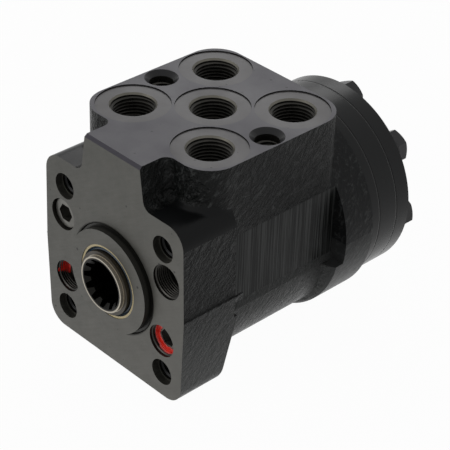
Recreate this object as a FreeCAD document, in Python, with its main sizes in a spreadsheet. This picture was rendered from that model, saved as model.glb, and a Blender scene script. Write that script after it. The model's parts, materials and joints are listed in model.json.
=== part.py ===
import FreeCAD, Part

import math
import operator
import os

import Sketcher

# Orbital steering unit with its own valves: a cast housing with five ports on top, a rotary spool and sleeve
# in its bore, and a gerotor gear set clamped behind it by seven screws.
# +Z is the outward normal of the port face, the shaft lies along Y, and the mounting face is at Y = 0.

# Driving sizes in millimetres, degrees or pieces: alias, value and what it is.
DRIVING_SIZES = (
    ("face_half_width", 41.5, "mounting face, half width at the parting line"),
    ("face_top_half_width", 40.4, "mounting face, half width at the shoulders, after draft"),
    ("face_base_half_width", 40.0, "mounting face, half width at the base, after draft"),
    ("base_depth", 40.5, "shaft axis to the flat base"),
    ("shoulder_height", 41.4, "shaft axis to the shoulders beside the neck"),
    ("neck_half_width", 15.9, "neck of the mounting face at the port face"),
    ("neck_root_half_width", 18.4, "neck of the mounting face at the shoulders"),
    ("port_height", 59.0, "shaft axis to the port face"),
    ("flange_depth", 31.2, "mounting face to the back of the flange at the parting line"),
    ("flange_top_depth", 27.0, "mounting face to the back of the flange above the side pads"),
    ("flange_base_depth", 20.5, "mounting face to the back of the flange at the base"),
    ("flange_bulge", 7.0, "half height of the thicker band of the flange at the parting line"),
    ("corner_round", 8.5, "outer corners of the mounting face"),
    ("neck_round", 4.2, "hollow between neck and shoulder"),
    ("block_blend", 3.8, "hollow between the port block, the neck and the shoulders"),
    ("neck_bevel", 1.2, "front edge of the port face"),
    ("waist_half_width", 38.0, "cast waist behind the flange"),
    ("waist_depth", 40.0, "shaft axis to the underside of the waist"),
    ("waist_height", 14.0, "shaft axis to the top of the waist behind the port block"),
    ("waist_round", 30.4, "lower corners of the waist"),
    ("block_half_width", 38.0, "port block"),
    ("block_front", 13.7, "mounting face to the front of the port block"),
    ("block_setback", 12.0, "rear face of the housing to the back of the port block"),
    ("block_round", 13.0, "corners of the port block"),
    ("block_foot", 12.0, "shaft axis to the foot of the port block in the casting"),
    ("pad_half_width", 37.0, "machined side pads"),
    ("pad_top", 26.5, "upper edge of the side pads"),
    ("pad_base", 6.0, "shaft axis down to the lower edge of the side pads"),
    ("pad_runout", 3.0, "slope of the lower edge of the side pads"),
    ("pad_setback", 16.0, "rear face of the housing to the rear end of the side pads"),
    ("housing_length", 102.0, "mounting face to the rear face of the housing"),
    ("rear_radius", 45.0, "cast rear flange"),
    ("rear_flange_depth", 21.0, "length of the cast rear flange"),
    ("rear_bevel", 1.0, "front edge of the cast rear flange"),
    ("rear_blend", 5.0, "length of the cone from waist to rear flange"),
    ("boss_radius", 22.4, "locating boss round the shaft"),
    ("boss_height", 3.0, "locating boss, in front of the mounting face"),
    ("boss_groove", 2.0, "width of the relief round the boss"),
    ("boss_groove_depth", 1.0, "depth of the relief round the boss"),
    ("mount_square", 58.34, "hole spacing of the column bolts, 82.5 mm across the circle"),
    ("mount_radius", 5.0, "column bolt thread M10"),
    ("mount_entry_radius", 5.65, "plain entry of the column bolt holes"),
    ("mount_entry_depth", 3.2, "plain entry of the column bolt holes"),
    ("mount_hole_depth", 18.0, "column bolt holes"),
    ("port_pitch_x", 44.3, "spacing of the outer ports across the unit"),
    ("port_pitch_y", 44.4, "spacing of the outer ports along the unit"),
    ("port_radius", 9.0, "port thread M18"),
    ("port_mouth_radius", 9.6, "bevelled mouth of the port threads"),
    ("port_mouth_depth", 0.8, "bevelled mouth of the port threads"),
    ("sensing_port_depth", 15.2, "middle port for load sensing"),
    ("pressure_port_depth", 16.0, "pressure port, down to its check valve"),
    ("tank_port_depth", 16.8, "tank port"),
    ("left_port_depth", 17.6, "left steering port"),
    ("right_port_depth", 18.4, "right steering port"),
    ("spot_radius", 15.2, "spot faces of the ports"),
    ("spot_depth", 0.5, "spot faces of the ports"),
    ("channel_radius", 3.6, "oil channels under the ports"),
    ("channel_offset_y", 3.8, "oil channels, away from the port axis along the unit"),
    ("channel_offset_x", 2.2, "oil channels, away from the port axis towards the middle"),
    ("channel_base", 9.0, "shaft axis to the lower end of the oil channels"),
    ("transfer_bore", 2.2, "oil holes from the sleeve to the rear face"),
    ("transfer_bore_circle", 24.2, "circle of the oil holes in the housing"),
    ("transfer_offset", 10.15, "middle port to the oil holes of the gear set in the main bore"),
    ("valve_screw_pitch", 60.9, "spacing of the two small threaded holes of the port face"),
    ("valve_screw_radius", 5.0, "small threaded holes of the port face, M10"),
    ("valve_screw_mouth", 7.0, "countersink of the small threaded holes"),
    ("valve_screw_depth", 17.0, "small threaded holes of the port face"),
    ("overcut", 1.0, "cutters reach past the piece"),
    ("running_gap", 0.03, "radial running clearance of spool and sleeve"),
    ("seat_gap", 0.05, "clearance between pieces that rest on each other"),
    ("sleeve_radius", 19.0, "outside of the sleeve"),
    ("spool_radius", 14.2, "outside of the spool"),
    ("oil_groove_depth", 2.2, "oil grooves of the main bore"),
    ("oil_groove_width", 4.0, "oil grooves of the main bore"),
    ("dust_seal_radius", 15.9, "dust seal, outside"),
    ("dust_seal_depth", 4.5, "dust seal"),
    ("seal_inset", 0.3, "front of the dust seal behind the front of the boss"),
    ("neck_radius", 13.7, "spool neck in the seals"),
    ("neck_overlap", 1.0, "spool neck inside the sleeve"),
    ("neck_gap", 0.6, "gap round the spool neck in the housing"),
    ("seal_web", 1.8, "housing wall between dust seal and shaft seal"),
    ("shaft_seal_radius", 17.2, "recess of the shaft seal"),
    ("shaft_seal_length", 4.0, "recess of the shaft seal"),
    ("seal_cord", 1.7, "section of the O-ring round the shaft seal"),
    ("race_thickness", 1.0, "races of the thrust bearing"),
    ("needle_radius", 1.0, "needles of the thrust bearing"),
    ("needle_length", 3.4, "needles of the thrust bearing"),
    ("needle_count", 14, "needles of the thrust bearing"),
    ("cage_thickness", 1.2, "cage of the thrust bearing"),
    ("spool_tip", 6.2, "end of the spool in front of the mounting face"),
    ("rim_radius", 12.0, "rim of the splined end"),
    ("rim_length", 1.6, "narrow end of the spool"),
    ("spline_teeth", 12, "teeth of the splined end"),
    ("spline_minor", 8.75, "tip radius of the inner splines"),
    ("spline_major", 10.6, "root radius of the inner splines"),
    ("spline_length", 19.0, "inner splines from the end of the spool"),
    ("spline_mouth_gap", 0.1, "bevelled mouth of the inner splines outside their roots"),
    ("tooth_overlap", 0.5, "outlines of single teeth, past the surface they grow from"),
    ("spline_root_width", 2.1, "space between the inner splines at the root"),
    ("spline_tip_width", 3.2, "space between the inner splines at their tips"),
    ("spool_bore", 11.0, "chamber of the cardan shaft in the spool"),
    ("sleeve_end_gap", 0.1, "sleeve to distribution plate"),
    ("spool_setback", 1.5, "spool end inside the sleeve end"),
    ("spring_place", 17.4, "mounting face to the middle of the centring springs"),
    ("spring_width", 7.0, "centring springs along the shaft"),
    ("spring_thickness", 0.6, "one centring spring"),
    ("spring_opening", 4.6, "opening of the centring springs at their ends"),
    ("ring_thickness", 1.1, "retaining ring round the sleeve"),
    ("ring_width", 9.0, "retaining ring round the sleeve"),
    ("pin_place", 42.0, "mounting face to the cross pin"),
    ("pin_radius", 4.0, "cross pin"),
    ("pin_play", 2.7, "travel of the cross pin in the spool slot, each way"),
    ("pin_slot_gap", 0.5, "cross pin in the spool slot, along the shaft"),
    ("oil_slot_width", 3.0, "oil slots of the spool"),
    ("oil_slot_depth", 1.0, "oil slots of the spool"),
    ("oil_slot_front", 48.65, "mounting face to the front end of the oil slots"),
    ("oil_slot_reach", 2.0, "oil slots past the oil holes of the gear set"),
    ("oil_hole_radius", 1.6, "oil holes of the sleeve under the ports"),
    ("fork_radius", 9.3, "fork of the cardan shaft"),
    ("fork_reach", 6.5, "fork in front of the cross pin"),
    ("fork_play", 0.15, "cross pin in the fork, each side"),
    ("cardan_radius", 6.4, "stem of the cardan shaft"),
    ("head_radius", 10.8, "splined head of the cardan shaft"),
    ("head_root", 8.6, "root radius of the splined head"),
    ("head_length", 6.6, "splined head of the cardan shaft"),
    ("head_crown", 0.35, "drop of the crowned head at its ends"),
    ("head_play", 0.3, "crowned head in the star, each side of a tooth"),
    ("drum_radius", 42.75, "distribution plate, gear ring and end cover"),
    ("plate_thickness", 6.6, "distribution plate"),
    ("plate_bore", 11.8, "hole for the cardan shaft in the distribution plate"),
    ("gear_width", 10.4, "gear set"),
    ("gear_side_gap", 0.02, "star between its two faces, each side"),
    ("ring_teeth", 7, "teeth of the gear ring"),
    ("tooth_circle", 31.0, "centres of the ring teeth"),
    ("tooth_radius", 6.6, "ring teeth"),
    ("eccentricity", 3.2, "centre of the star from the shaft axis"),
    ("mesh_gap", 0.05, "star in the gear ring"),
    ("valley_gap", 0.15, "star tips in the valleys of the gear ring"),
    ("star_bore_root", 11.3, "root radius of the splines in the star"),
    ("star_bore_tip", 9.3, "tip radius of the splines in the star"),
    ("spacer_radius", 8.6, "round spacer behind the cardan shaft"),
    ("spacer_thickness", 2.4, "round spacer behind the cardan shaft"),
    ("cover_thickness", 8.5, "end cover"),
    ("cover_bevel", 0.9, "bevel round the end cover"),
    ("screw_circle", 34.0, "circle of the cover screws"),
    ("screw_radius", 4.0, "cover screws M8"),
    ("screw_hole_radius", 4.3, "screw holes in plate, ring and cover"),
    ("screw_engagement", 13.0, "cover screws in the housing"),
    ("screw_head_flats", 13.0, "hex heads across the flats"),
    ("screw_head_height", 5.3, "hex heads"),
    ("screw_runout", 2.0, "screw threads of the housing, past the tip of the longest screw"),
    ("screw_tip_bevel", 1.0, "bevel at the tips of the cover screws"),
    ("special_screw_extra", 6.0, "longer thread of the special screw"),
    ("head_bevel_width", 1.56, "bevel round the hex heads, outwards from the flats"),
    ("head_bevel_height", 0.9048, "bevel round the hex heads, along the screw"),
    ("washer_radius", 7.4, "sealing washers"),
    ("washer_thickness", 1.2, "sealing washers"),
    ("face_seal_radius", 40.1, "middle of the face O-rings"),
    ("face_seal_cord", 1.7, "section of the face O-rings"),
    ("face_seal_squeeze", 0.3, "how much the face O-rings are pressed flat"),
    ("transfer_radius", 2.6, "oil holes of the distribution plate"),
    ("transfer_circle", 26.6, "circle of the oil holes of the distribution plate"),
    ("upper_bore_x", 30.7, "upper valve bore, shaft axis across"),
    ("upper_bore_z", 15.2, "upper valve bores above the shaft axis"),
    ("lower_bore_x", 28.9, "lower valve bores, shaft axis across"),
    ("lower_bore_z", 14.0, "lower valve bores below the shaft axis"),
    ("gallery_x", 31.3, "gallery bore, shaft axis across"),
    ("valve_bore_radius", 6.95, "thread of the valve bores"),
    ("valve_bore_depth", 22.0, "threaded length of the valve bores"),
    ("valve_chamber_radius", 4.9, "spring chambers of the valves"),
    ("valve_chamber_depth", 39.0, "mounting face to the seats of the valves"),
    ("valve_channel_radius", 2.6, "channels behind the valve seats"),
    ("valve_channel_depth", 46.0, "mounting face to the end of the valve channels"),
    ("gallery_radius", 7.4, "thread of the gallery bore"),
    ("gallery_depth", 20.0, "threaded length of the gallery bore"),
    ("gallery_plug_place", 9.0, "gallery plug below the mounting face"),
    ("plug_length", 8.0, "threaded plugs"),
    ("plug_socket", 7.0, "hex sockets across the flats"),
    ("plug_socket_depth", 5.0, "hex sockets"),
    ("plug_bevel", 0.7, "bevel of the plugs"),
    ("relief_plug_place", 6.0, "relief valve plug below the mounting face"),
    ("left_plug_place", 1.4, "left shock valve plug below the mounting face"),
    ("right_plug_place", 3.5, "right shock valve plug below the mounting face"),
    ("thread_gap", 0.04, "threaded pieces in their bores"),
    ("seat_length", 4.0, "valve seats"),
    ("seat_bore", 1.9, "hole of the valve seats"),
    ("poppet_radius", 3.2, "cones of the valve poppets"),
    ("poppet_tip", 0.9, "tips of the valve poppets"),
    ("poppet_collar", 4.3, "collars of the valve poppets"),
    ("poppet_collar_length", 1.6, "collars of the valve poppets"),
    ("poppet_stem", 1.8, "spring guides of the poppets"),
    ("poppet_stem_length", 3.5, "spring guides of the poppets"),
    ("coil_wire", 0.55, "wire radius of the valve springs"),
    ("coil_radius", 3.3, "mean radius of the valve springs"),
    ("coil_turns", 5, "turns of the valve springs"),
    ("check_bore_radius", 6.4, "bore of the check valve under the pressure port"),
    ("check_bush_length", 6.0, "threaded seat of the check valve"),
    ("check_bush_bore", 3.0, "hole of the check valve seat"),
    ("check_ball_radius", 4.0, "ball of the check valve"),
    ("check_chamber_depth", 11.0, "chamber of the check ball under its seat"),
    ("check_lift", 1.6, "travel of the check ball"),
    ("check_pin_radius", 1.1, "roll pin under the check ball"),
    ("check_pin_root", 2.5, "roll pin in its hole"),
    ("suction_circle", 32.0, "circle of the suction valves"),
    ("suction_bore_radius", 4.2, "bores of the suction valves"),
    ("suction_bore_depth", 15.0, "bores of the suction valves"),
    ("suction_ball_radius", 3.9, "balls of the suction valves"),
    ("suction_seat_radius", 2.6, "seats of the suction balls"),
    ("suction_seat_depth", 6.0, "channels in front of the suction balls"),
    ("suction_lift", 1.8, "travel of the suction balls"),
    ("suction_pin_radius", 1.5, "pins behind the suction balls"),
    ("suction_pin_seat", 1.0, "seats of the pins in the distribution plate"),
)


class Size:
    """A number that keeps the sheet formula it comes from."""

    def __init__(self, value, text):
        self.value = value
        self.text = text

    def joined(self, other, sign, work, swap=False):
        other = other if isinstance(other, Size) else Size(float(other), repr(float(other)))
        first, last = (other, self) if swap else (self, other)
        return Size(work(first.value, last.value), f"({first.text} {sign} {last.text})")

    def __add__(self, other):
        return self.joined(other, "+", operator.add)

    def __sub__(self, other):
        return self.joined(other, "-", operator.sub)

    def __rsub__(self, other):
        return self.joined(other, "-", operator.sub, swap=True)

    def __mul__(self, other):
        return self.joined(other, "*", operator.mul)

    def __truediv__(self, other):
        return self.joined(other, "/", operator.truediv)

    def __neg__(self):
        return Size(-self.value, f"(-{self.text})")

    __radd__ = __add__
    __rmul__ = __mul__


class Sizes:
    """The driving sizes by name."""


doc = FreeCAD.newDocument("steering_unit")
sheet = doc.addObject("Spreadsheet::Sheet", "size")
size = Sizes()
for row, (alias, number, meaning) in enumerate(DRIVING_SIZES, 1):
    sheet.set(f"A{row}", meaning)
    sheet.set(f"B{row}", str(number))
    sheet.setAlias(f"B{row}", alias)
    setattr(size, alias, Size(float(number), f"size.{alias}"))
doc.recompute()

ZERO = Size(0.0, "0")
ALONG_SHAFT = FreeCAD.Rotation(FreeCAD.Vector(1, 0, 0), -90)
nodes = []


# Sketches and features

def bind(item, field, length):
    item.setExpression(field, length.text)


def new_body(label, several=False):
    body = doc.addObject("PartDesign::Body", label)
    body.Label = label
    body.AllowCompound = several
    nodes.append(body)
    return body


def origin_part(body, role):
    return next(item for item in body.Origin.OriginFeatures if item.Role == role)


def sketch_on(body, role, shift=ZERO):
    """A sketch on an origin plane of the body, moved along the normal of the plane."""
    sketch = body.newObject("Sketcher::SketchObject", f"{body.Label}_sketch")
    sketch.AttachmentSupport = (origin_part(body, role), "")
    sketch.MapMode = "FlatFace"
    sketch.AttachmentOffset = FreeCAD.Placement(FreeCAD.Vector(0, 0, shift.value), FreeCAD.Rotation())
    bind(sketch, "AttachmentOffset.Base.z", shift)
    return sketch


def hold(sketch, kind, *place, length):
    """A named dimension of the sketch, bound to the sheet."""
    index = sketch.addConstraint(Sketcher.Constraint(kind, *place, length.value))
    bind(sketch, f"Constraints[{index}]", length)


def as_size(number):
    return number if isinstance(number, Size) else Size(float(number), repr(float(number)))


def outline(sketch, *corners):
    """A closed outline. A corner is (across, up), or (across, up, radius) where an arc leads to the next one.

    The radius is negative where the arc turns clockwise.
    """
    corners = [tuple(as_size(value) for value in corner) for corner in corners]
    points = [FreeCAD.Vector(corner[0].value, corner[1].value, 0) for corner in corners]
    first_geometry = sketch.GeometryCount
    starts, ends = [], []
    for index, corner in enumerate(corners):
        here, there = points[index], points[(index + 1) % len(points)]
        if len(corner) == 2:
            starts.append((sketch.addGeometry(Part.LineSegment(here, there)), 1))
            ends.append((starts[-1][0], 2))
            continue
        radius = corner[2].value
        turn = math.copysign(1.0, radius)
        half = (there - here) * 0.5
        rise = math.sqrt(max(radius ** 2 - half.Length ** 2, 0.0)) * turn
        side = FreeCAD.Vector(-half.y, half.x, 0).normalize()
        centre = here + half + side * rise
        angles = [math.atan2(point.y - centre.y, point.x - centre.x) for point in (here, there)]
        if turn < 0:
            angles.reverse()
        circle = Part.Circle(centre, FreeCAD.Vector(0, 0, 1), abs(radius))
        arc = sketch.addGeometry(Part.ArcOfCircle(circle, *angles))
        starts.append((arc, 1 if turn > 0 else 2))
        ends.append((arc, 2 if turn > 0 else 1))
    for end, start in zip(ends, starts[1:] + starts[:1]):
        sketch.addConstraint(Sketcher.Constraint("Coincident", *end, *start))
    for index, corner in enumerate(corners):
        hold(sketch, "DistanceX", -1, 1, *starts[index], length=corner[0])
        hold(sketch, "DistanceY", -1, 1, *starts[index], length=corner[1])
        if len(corner) == 3:
            radius = corner[2] if corner[2].value > 0 else -corner[2]
            hold(sketch, "Radius", first_geometry + index, length=radius)
    return sketch


def circle(sketch, across, up, radius):
    across, up = as_size(across), as_size(up)
    middle = FreeCAD.Vector(across.value, up.value, 0)
    index = sketch.addGeometry(Part.Circle(middle, FreeCAD.Vector(0, 0, 1), radius.value))
    hold(sketch, "DistanceX", -1, 1, index, 3, length=across)
    hold(sketch, "DistanceY", -1, 1, index, 3, length=up)
    hold(sketch, "Radius", index, length=radius)
    return sketch


def hexagon(sketch, across, up, flats):
    """A hexagon with two corners level with its middle."""
    corner = flats / math.sqrt(3.0)
    half = flats / 2.0
    offsets = ((corner, ZERO), (corner / 2.0, half), (-corner / 2.0, half),
               (-corner, ZERO), (-corner / 2.0, -half), (corner / 2.0, -half))
    return outline(sketch, *[(across + x, up + z) for x, z in offsets])


def extrude(body, kind, sketch, length, reverse=False, taper=None):
    feature = body.newObject(f"PartDesign::{kind}", f"{body.Label}_{kind.lower()}")
    feature.Profile = sketch
    feature.Length = length.value
    bind(feature, "Length", length)
    feature.Reversed = reverse
    if taper is not None:
        feature.TaperAngle = taper
    return feature


def pad(body, sketch, length, reverse=False):
    return extrude(body, "Pad", sketch, length, reverse)


def pocket(body, sketch, length, reverse=False, taper=None):
    return extrude(body, "Pocket", sketch, length, reverse, taper)


def spin(body, *corners, cut=False, across=ZERO, up=ZERO):
    """Turn an outline, given as (radius, place along the shaft), about an axis along the shaft."""
    sketch = sketch_on(body, "YZ_Plane", across)
    axis = sketch.addGeometry(Part.LineSegment(FreeCAD.Vector(0, up.value, 0), FreeCAD.Vector(1, up.value, 0)))
    sketch.toggleConstruction(axis)
    for end in (1, 2):
        hold(sketch, "DistanceX", -1, 1, axis, end, length=as_size(end - 1))
        hold(sketch, "DistanceY", -1, 1, axis, end, length=up)
    corners = [[as_size(value) for value in corner] for corner in corners]
    # an outline seen with its axes exchanged turns the other way round
    outline(sketch, *[(along, radius + up, *[-bend for bend in bends]) for radius, along, *bends in corners])
    kind = "Groove" if cut else "Revolution"
    feature = body.newObject(f"PartDesign::{kind}", f"{body.Label}_{kind.lower()}")
    feature.Profile = sketch
    feature.ReferenceAxis = (sketch, ["Axis0"])
    feature.Angle = 360
    return feature


def ring_corners(inner, outer, front, back):
    return (inner, front), (outer, front), (outer, back), (inner, back)


def around(body, features, count, angle=360.0):
    """Repeat features evenly about the shaft axis."""
    pattern = body.newObject("PartDesign::PolarPattern", f"{body.Label}_pattern")
    pattern.Originals = list(features)
    pattern.Axis = (origin_part(body, "Y_Axis"), [""])
    pattern.Angle = angle
    pattern.Occurrences = int(count.value)
    bind(pattern, "Occurrences", count)
    body.Tip = pattern
    return pattern


def edges_at(feature, *places):
    """Names of the edges of a feature that pass through the given places."""
    doc.recompute()
    names = []
    for place in places:
        point = Part.Vertex(FreeCAD.Vector(*[as_size(value).value for value in place]))
        distances = [edge.distToShape(point)[0] for edge in feature.Shape.Edges]
        nearest = distances.index(min(distances))
        names.append(f"Edge{nearest + 1}")
    return names


def blend(body, kind, feature, length, *places):
    """Fillet or bevel the edges that pass through the given places."""
    names = edges_at(feature, *places)
    result = body.newObject(f"PartDesign::{kind}", f"{body.Label}_{kind.lower()}")
    result.Base = (feature, names)
    field = "Radius" if kind == "Fillet" else "Size"
    setattr(result, field, length.value)
    bind(result, field, length)
    return result


# Places that several pieces share

bore_radius = size.sleeve_radius + size.running_gap
boss_front = -size.boss_height
seal_shelf = size.dust_seal_depth - size.boss_height
seal_front = seal_shelf + size.seal_web
bearing_front = seal_front + size.shaft_seal_length
race_back = bearing_front + size.seat_gap + size.race_thickness
cage_back = race_back + size.needle_radius * 2.0 + size.seat_gap * 2.0
sleeve_front = cage_back + size.race_thickness + size.seat_gap
plate_front = size.housing_length
ring_front = plate_front + size.plate_thickness
cover_front = ring_front + size.gear_width
cover_back = cover_front + size.cover_thickness
sleeve_back = plate_front - size.sleeve_end_gap
block_back = size.housing_length - size.block_setback
pad_back = size.housing_length - size.pad_setback
port_middle_y = (size.block_front + block_back) / 2.0
port_x = size.port_pitch_x / 2.0
port_y = size.port_pitch_y / 2.0
port_front_y = port_middle_y - port_y
port_rear_y = port_middle_y + port_y
ports = {
    "sensing": (ZERO, port_middle_y, size.sensing_port_depth),
    "pressure": (-port_x, port_front_y, size.pressure_port_depth),
    "tank": (port_x, port_front_y, size.tank_port_depth),
    "left": (-port_x, port_rear_y, size.left_port_depth),
    "right": (port_x, port_rear_y, size.right_port_depth),
}
transfer_place = port_middle_y + size.transfer_offset
mount_offset = size.mount_square / 2.0
check_top = size.port_height - size.pressure_port_depth
check_seat = check_top - size.check_bush_length
check_base = check_seat - size.check_chamber_depth
check_chamber = size.check_ball_radius + size.check_lift / 4.0
valve_places = {
    "relief": (-size.lower_bore_x, -size.lower_bore_z, size.relief_plug_place),
    "shock_left": (-size.upper_bore_x, size.upper_bore_z, size.left_plug_place),
    "shock_right": (size.lower_bore_x, -size.lower_bore_z, size.right_plug_place),
}
gallery_place = (size.gallery_x, size.upper_bore_z)
teeth_step = 2.0 * math.pi / size.ring_teeth.value
suction_angle = 4.5 * teeth_step
suction_places = {
    "left": (size.suction_circle * math.sin(suction_angle), size.suction_circle * math.cos(suction_angle)),
    "right": (size.suction_circle * -math.sin(suction_angle), size.suction_circle * math.cos(suction_angle)),
}


# Housing

def cast_housing(body):
    """The casting before machining: mounting flange, waist, port block and rear flange."""
    face = outline(
        sketch_on(body, "XZ_Plane"),
        (-size.face_base_half_width, -size.base_depth),
        (size.face_base_half_width, -size.base_depth),
        (size.face_half_width, ZERO),
        (size.face_top_half_width, size.shoulder_height),
        (size.neck_root_half_width, size.shoulder_height),
        (size.neck_half_width, size.port_height),
        (-size.neck_half_width, size.port_height),
        (-size.neck_root_half_width, size.shoulder_height),
        (-size.face_top_half_width, size.shoulder_height),
        (-size.face_half_width, ZERO),
    )
    flange = pad(body, face, size.flange_depth, reverse=True)
    mid = size.flange_depth / 2.0
    corners = [(side * size.face_base_half_width, mid, -size.base_depth) for side in (-1, 1)]
    corners += [(side * size.face_top_half_width, mid, size.shoulder_height) for side in (-1, 1)]
    flange = blend(body, "Fillet", flange, size.corner_round, *corners)
    necks = [(side * size.neck_root_half_width, mid, size.shoulder_height) for side in (-1, 1)]
    flange = blend(body, "Fillet", flange, size.neck_round, *necks)
    blend(body, "Chamfer", flange, size.neck_bevel, (ZERO, ZERO, size.port_height))
    # the back of the flange leans forward below the parting line
    back = outline(
        sketch_on(body, "YZ_Plane"),
        (size.flange_base_depth, -size.base_depth - size.overcut),
        (size.flange_depth + size.overcut, -size.base_depth - size.overcut),
        (size.flange_depth + size.overcut, size.port_height + size.overcut),
        (size.flange_top_depth, size.port_height + size.overcut),
        (size.flange_top_depth, size.flange_bulge * 2.0),
        (size.flange_depth, size.flange_bulge),
        (size.flange_depth, ZERO),
    )
    trim = pocket(body, back, (size.face_half_width + size.overcut) * 2.0)
    trim.SideType = "Symmetric"
    waist = outline(
        sketch_on(body, "XZ_Plane", -size.flange_base_depth / 2.0),
        (-size.waist_half_width + size.waist_round, -size.waist_depth),
        (size.waist_half_width - size.waist_round, -size.waist_depth, size.waist_round),
        (size.waist_half_width, size.waist_round - size.waist_depth),
        (size.waist_half_width, size.waist_height),
        (-size.waist_half_width, size.waist_height),
        (-size.waist_half_width, size.waist_round - size.waist_depth, size.waist_round),
    )
    pad(body, waist, size.housing_length - size.flange_base_depth / 2.0, reverse=True)
    inner, outer = size.block_half_width - size.block_round, size.block_half_width
    front, back = size.block_front + size.block_round, block_back - size.block_round
    block = outline(
        sketch_on(body, "XY_Plane", size.block_foot),
        (-inner, size.block_front),
        (inner, size.block_front, size.block_round),
        (outer, front),
        (outer, back, size.block_round),
        (inner, block_back),
        (-inner, block_back, size.block_round),
        (-outer, back),
        (-outer, front, size.block_round),
    )
    lobes = pad(body, block, size.port_height - size.block_foot)
    high = (size.shoulder_height + size.port_height) / 2.0
    neck_side = (size.neck_half_width + size.neck_root_half_width) / 2.0
    blend(body, "Fillet", lobes, size.block_blend, *[(side * neck_side, size.block_front, high) for side in (-1, 1)])
    rear_start = size.housing_length - size.rear_flange_depth
    spin(
        body,
        (ZERO, rear_start - size.rear_blend),
        (size.waist_half_width - size.rear_blend, rear_start - size.rear_blend),
        (size.rear_radius - size.rear_bevel, rear_start),
        (size.rear_radius, rear_start + size.rear_bevel),
        (size.rear_radius, size.housing_length),
        (ZERO, size.housing_length),
    )


def machine_outside(body):
    """Side pads, locating boss, mounting holes, valve bores and ports."""
    for side in (-1, 1):
        recess = outline(
            sketch_on(body, "XZ_Plane", -size.flange_top_depth),
            (side * size.pad_half_width, size.pad_top),
            (side * (size.rear_radius + size.overcut), size.pad_top),
            (side * (size.rear_radius + size.overcut), -size.pad_base - size.pad_runout),
            (side * size.waist_half_width, -size.pad_base - size.pad_runout),
            (side * size.pad_half_width, -size.pad_base),
        )
        pocket(body, recess, pad_back - size.flange_top_depth)
    groove_outer = size.boss_radius + size.boss_groove
    pad(body, circle(sketch_on(body, "XZ_Plane"), 0, 0, size.boss_radius), size.boss_height)
    spin(
        body,
        (size.boss_radius, ZERO),
        (size.boss_radius, size.boss_groove_depth),
        (groove_outer - size.boss_groove_depth, size.boss_groove_depth, size.boss_groove_depth),
        (groove_outer, ZERO),
        (groove_outer, -size.seat_gap),
        (size.boss_radius, -size.seat_gap),
        cut=True,
    )
    for radius, depth in (
        (size.mount_radius, size.mount_hole_depth),
        (size.mount_entry_radius, size.mount_entry_depth),
    ):
        holes = sketch_on(body, "XZ_Plane")
        for across in (-mount_offset, mount_offset):
            for up in (-mount_offset, mount_offset):
                circle(holes, across, up, radius)
        pocket(body, holes, depth)
    for radius, depth in (
        (size.valve_bore_radius, size.valve_bore_depth),
        (size.valve_chamber_radius, size.valve_chamber_depth),
        (size.valve_channel_radius, size.valve_channel_depth),
    ):
        holes = sketch_on(body, "XZ_Plane")
        for across, up, _ in valve_places.values():
            circle(holes, across, up, radius)
        pocket(body, holes, depth)
    pocket(body, circle(sketch_on(body, "XZ_Plane"), *gallery_place, size.gallery_radius), size.gallery_depth)


def machine_ports(body):
    spots = sketch_on(body, "XY_Plane", size.port_height)
    mouths = sketch_on(body, "XY_Plane", size.port_height - size.spot_depth)
    for across, along, depth in ports.values():
        circle(spots, across, along, size.spot_radius)
        circle(mouths, across, along, size.port_mouth_radius)
        pocket(body, circle(sketch_on(body, "XY_Plane", size.port_height), across, along, size.port_radius), depth)
    pocket(body, spots, size.spot_depth)
    lean = math.degrees(math.atan2((size.port_mouth_radius - size.port_radius).value, size.port_mouth_depth.value))
    pocket(body, mouths, size.port_mouth_depth, taper=-lean)
    screw_x = size.valve_screw_pitch / 2.0
    screws = sketch_on(body, "XY_Plane", size.port_height)
    cones = sketch_on(body, "XY_Plane", size.port_height)
    for across in (-screw_x, screw_x):
        circle(screws, across, port_middle_y, size.valve_screw_radius)
        circle(cones, across, port_middle_y, size.valve_screw_mouth)
    pocket(body, screws, size.valve_screw_depth)
    pocket(body, cones, size.valve_screw_mouth - size.valve_screw_radius, taper=-45)
    # oil channels from the ports to the grooves of the main bore
    channel_x = port_x - size.channel_offset_x
    channel_top = size.port_height - size.sensing_port_depth
    channels = sketch_on(body, "XY_Plane", channel_top)
    circle(channels, ZERO, port_middle_y, size.channel_radius)
    circle(channels, channel_x, port_front_y + size.channel_offset_y, size.channel_radius)
    for side in (-1, 1):
        circle(channels, side * channel_x, port_rear_y + side * size.channel_offset_y, size.channel_radius)
    pocket(body, channels, channel_top - size.channel_base)
    # the pressure port leads through the check valve
    channel = sketch_on(body, "XY_Plane", check_seat)
    circle(channel, -channel_x, port_front_y - size.channel_offset_y, size.channel_radius)
    pocket(body, channel, check_seat - size.channel_base)
    for radius, top, depth in (
        (size.check_bore_radius, check_top, size.check_bush_length),
        (check_chamber, check_seat, size.check_chamber_depth),
        (size.check_pin_radius + size.thread_gap, check_base, size.check_pin_root),
    ):
        pocket(body, circle(sketch_on(body, "XY_Plane", top), -port_x, port_front_y, radius), depth)


def groove_places():
    """The places of the oil grooves along the main bore, under the channels of the ports."""
    shift = size.channel_offset_y
    return (port_front_y - shift, port_front_y + shift, port_middle_y, port_rear_y - shift, port_rear_y + shift)


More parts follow.
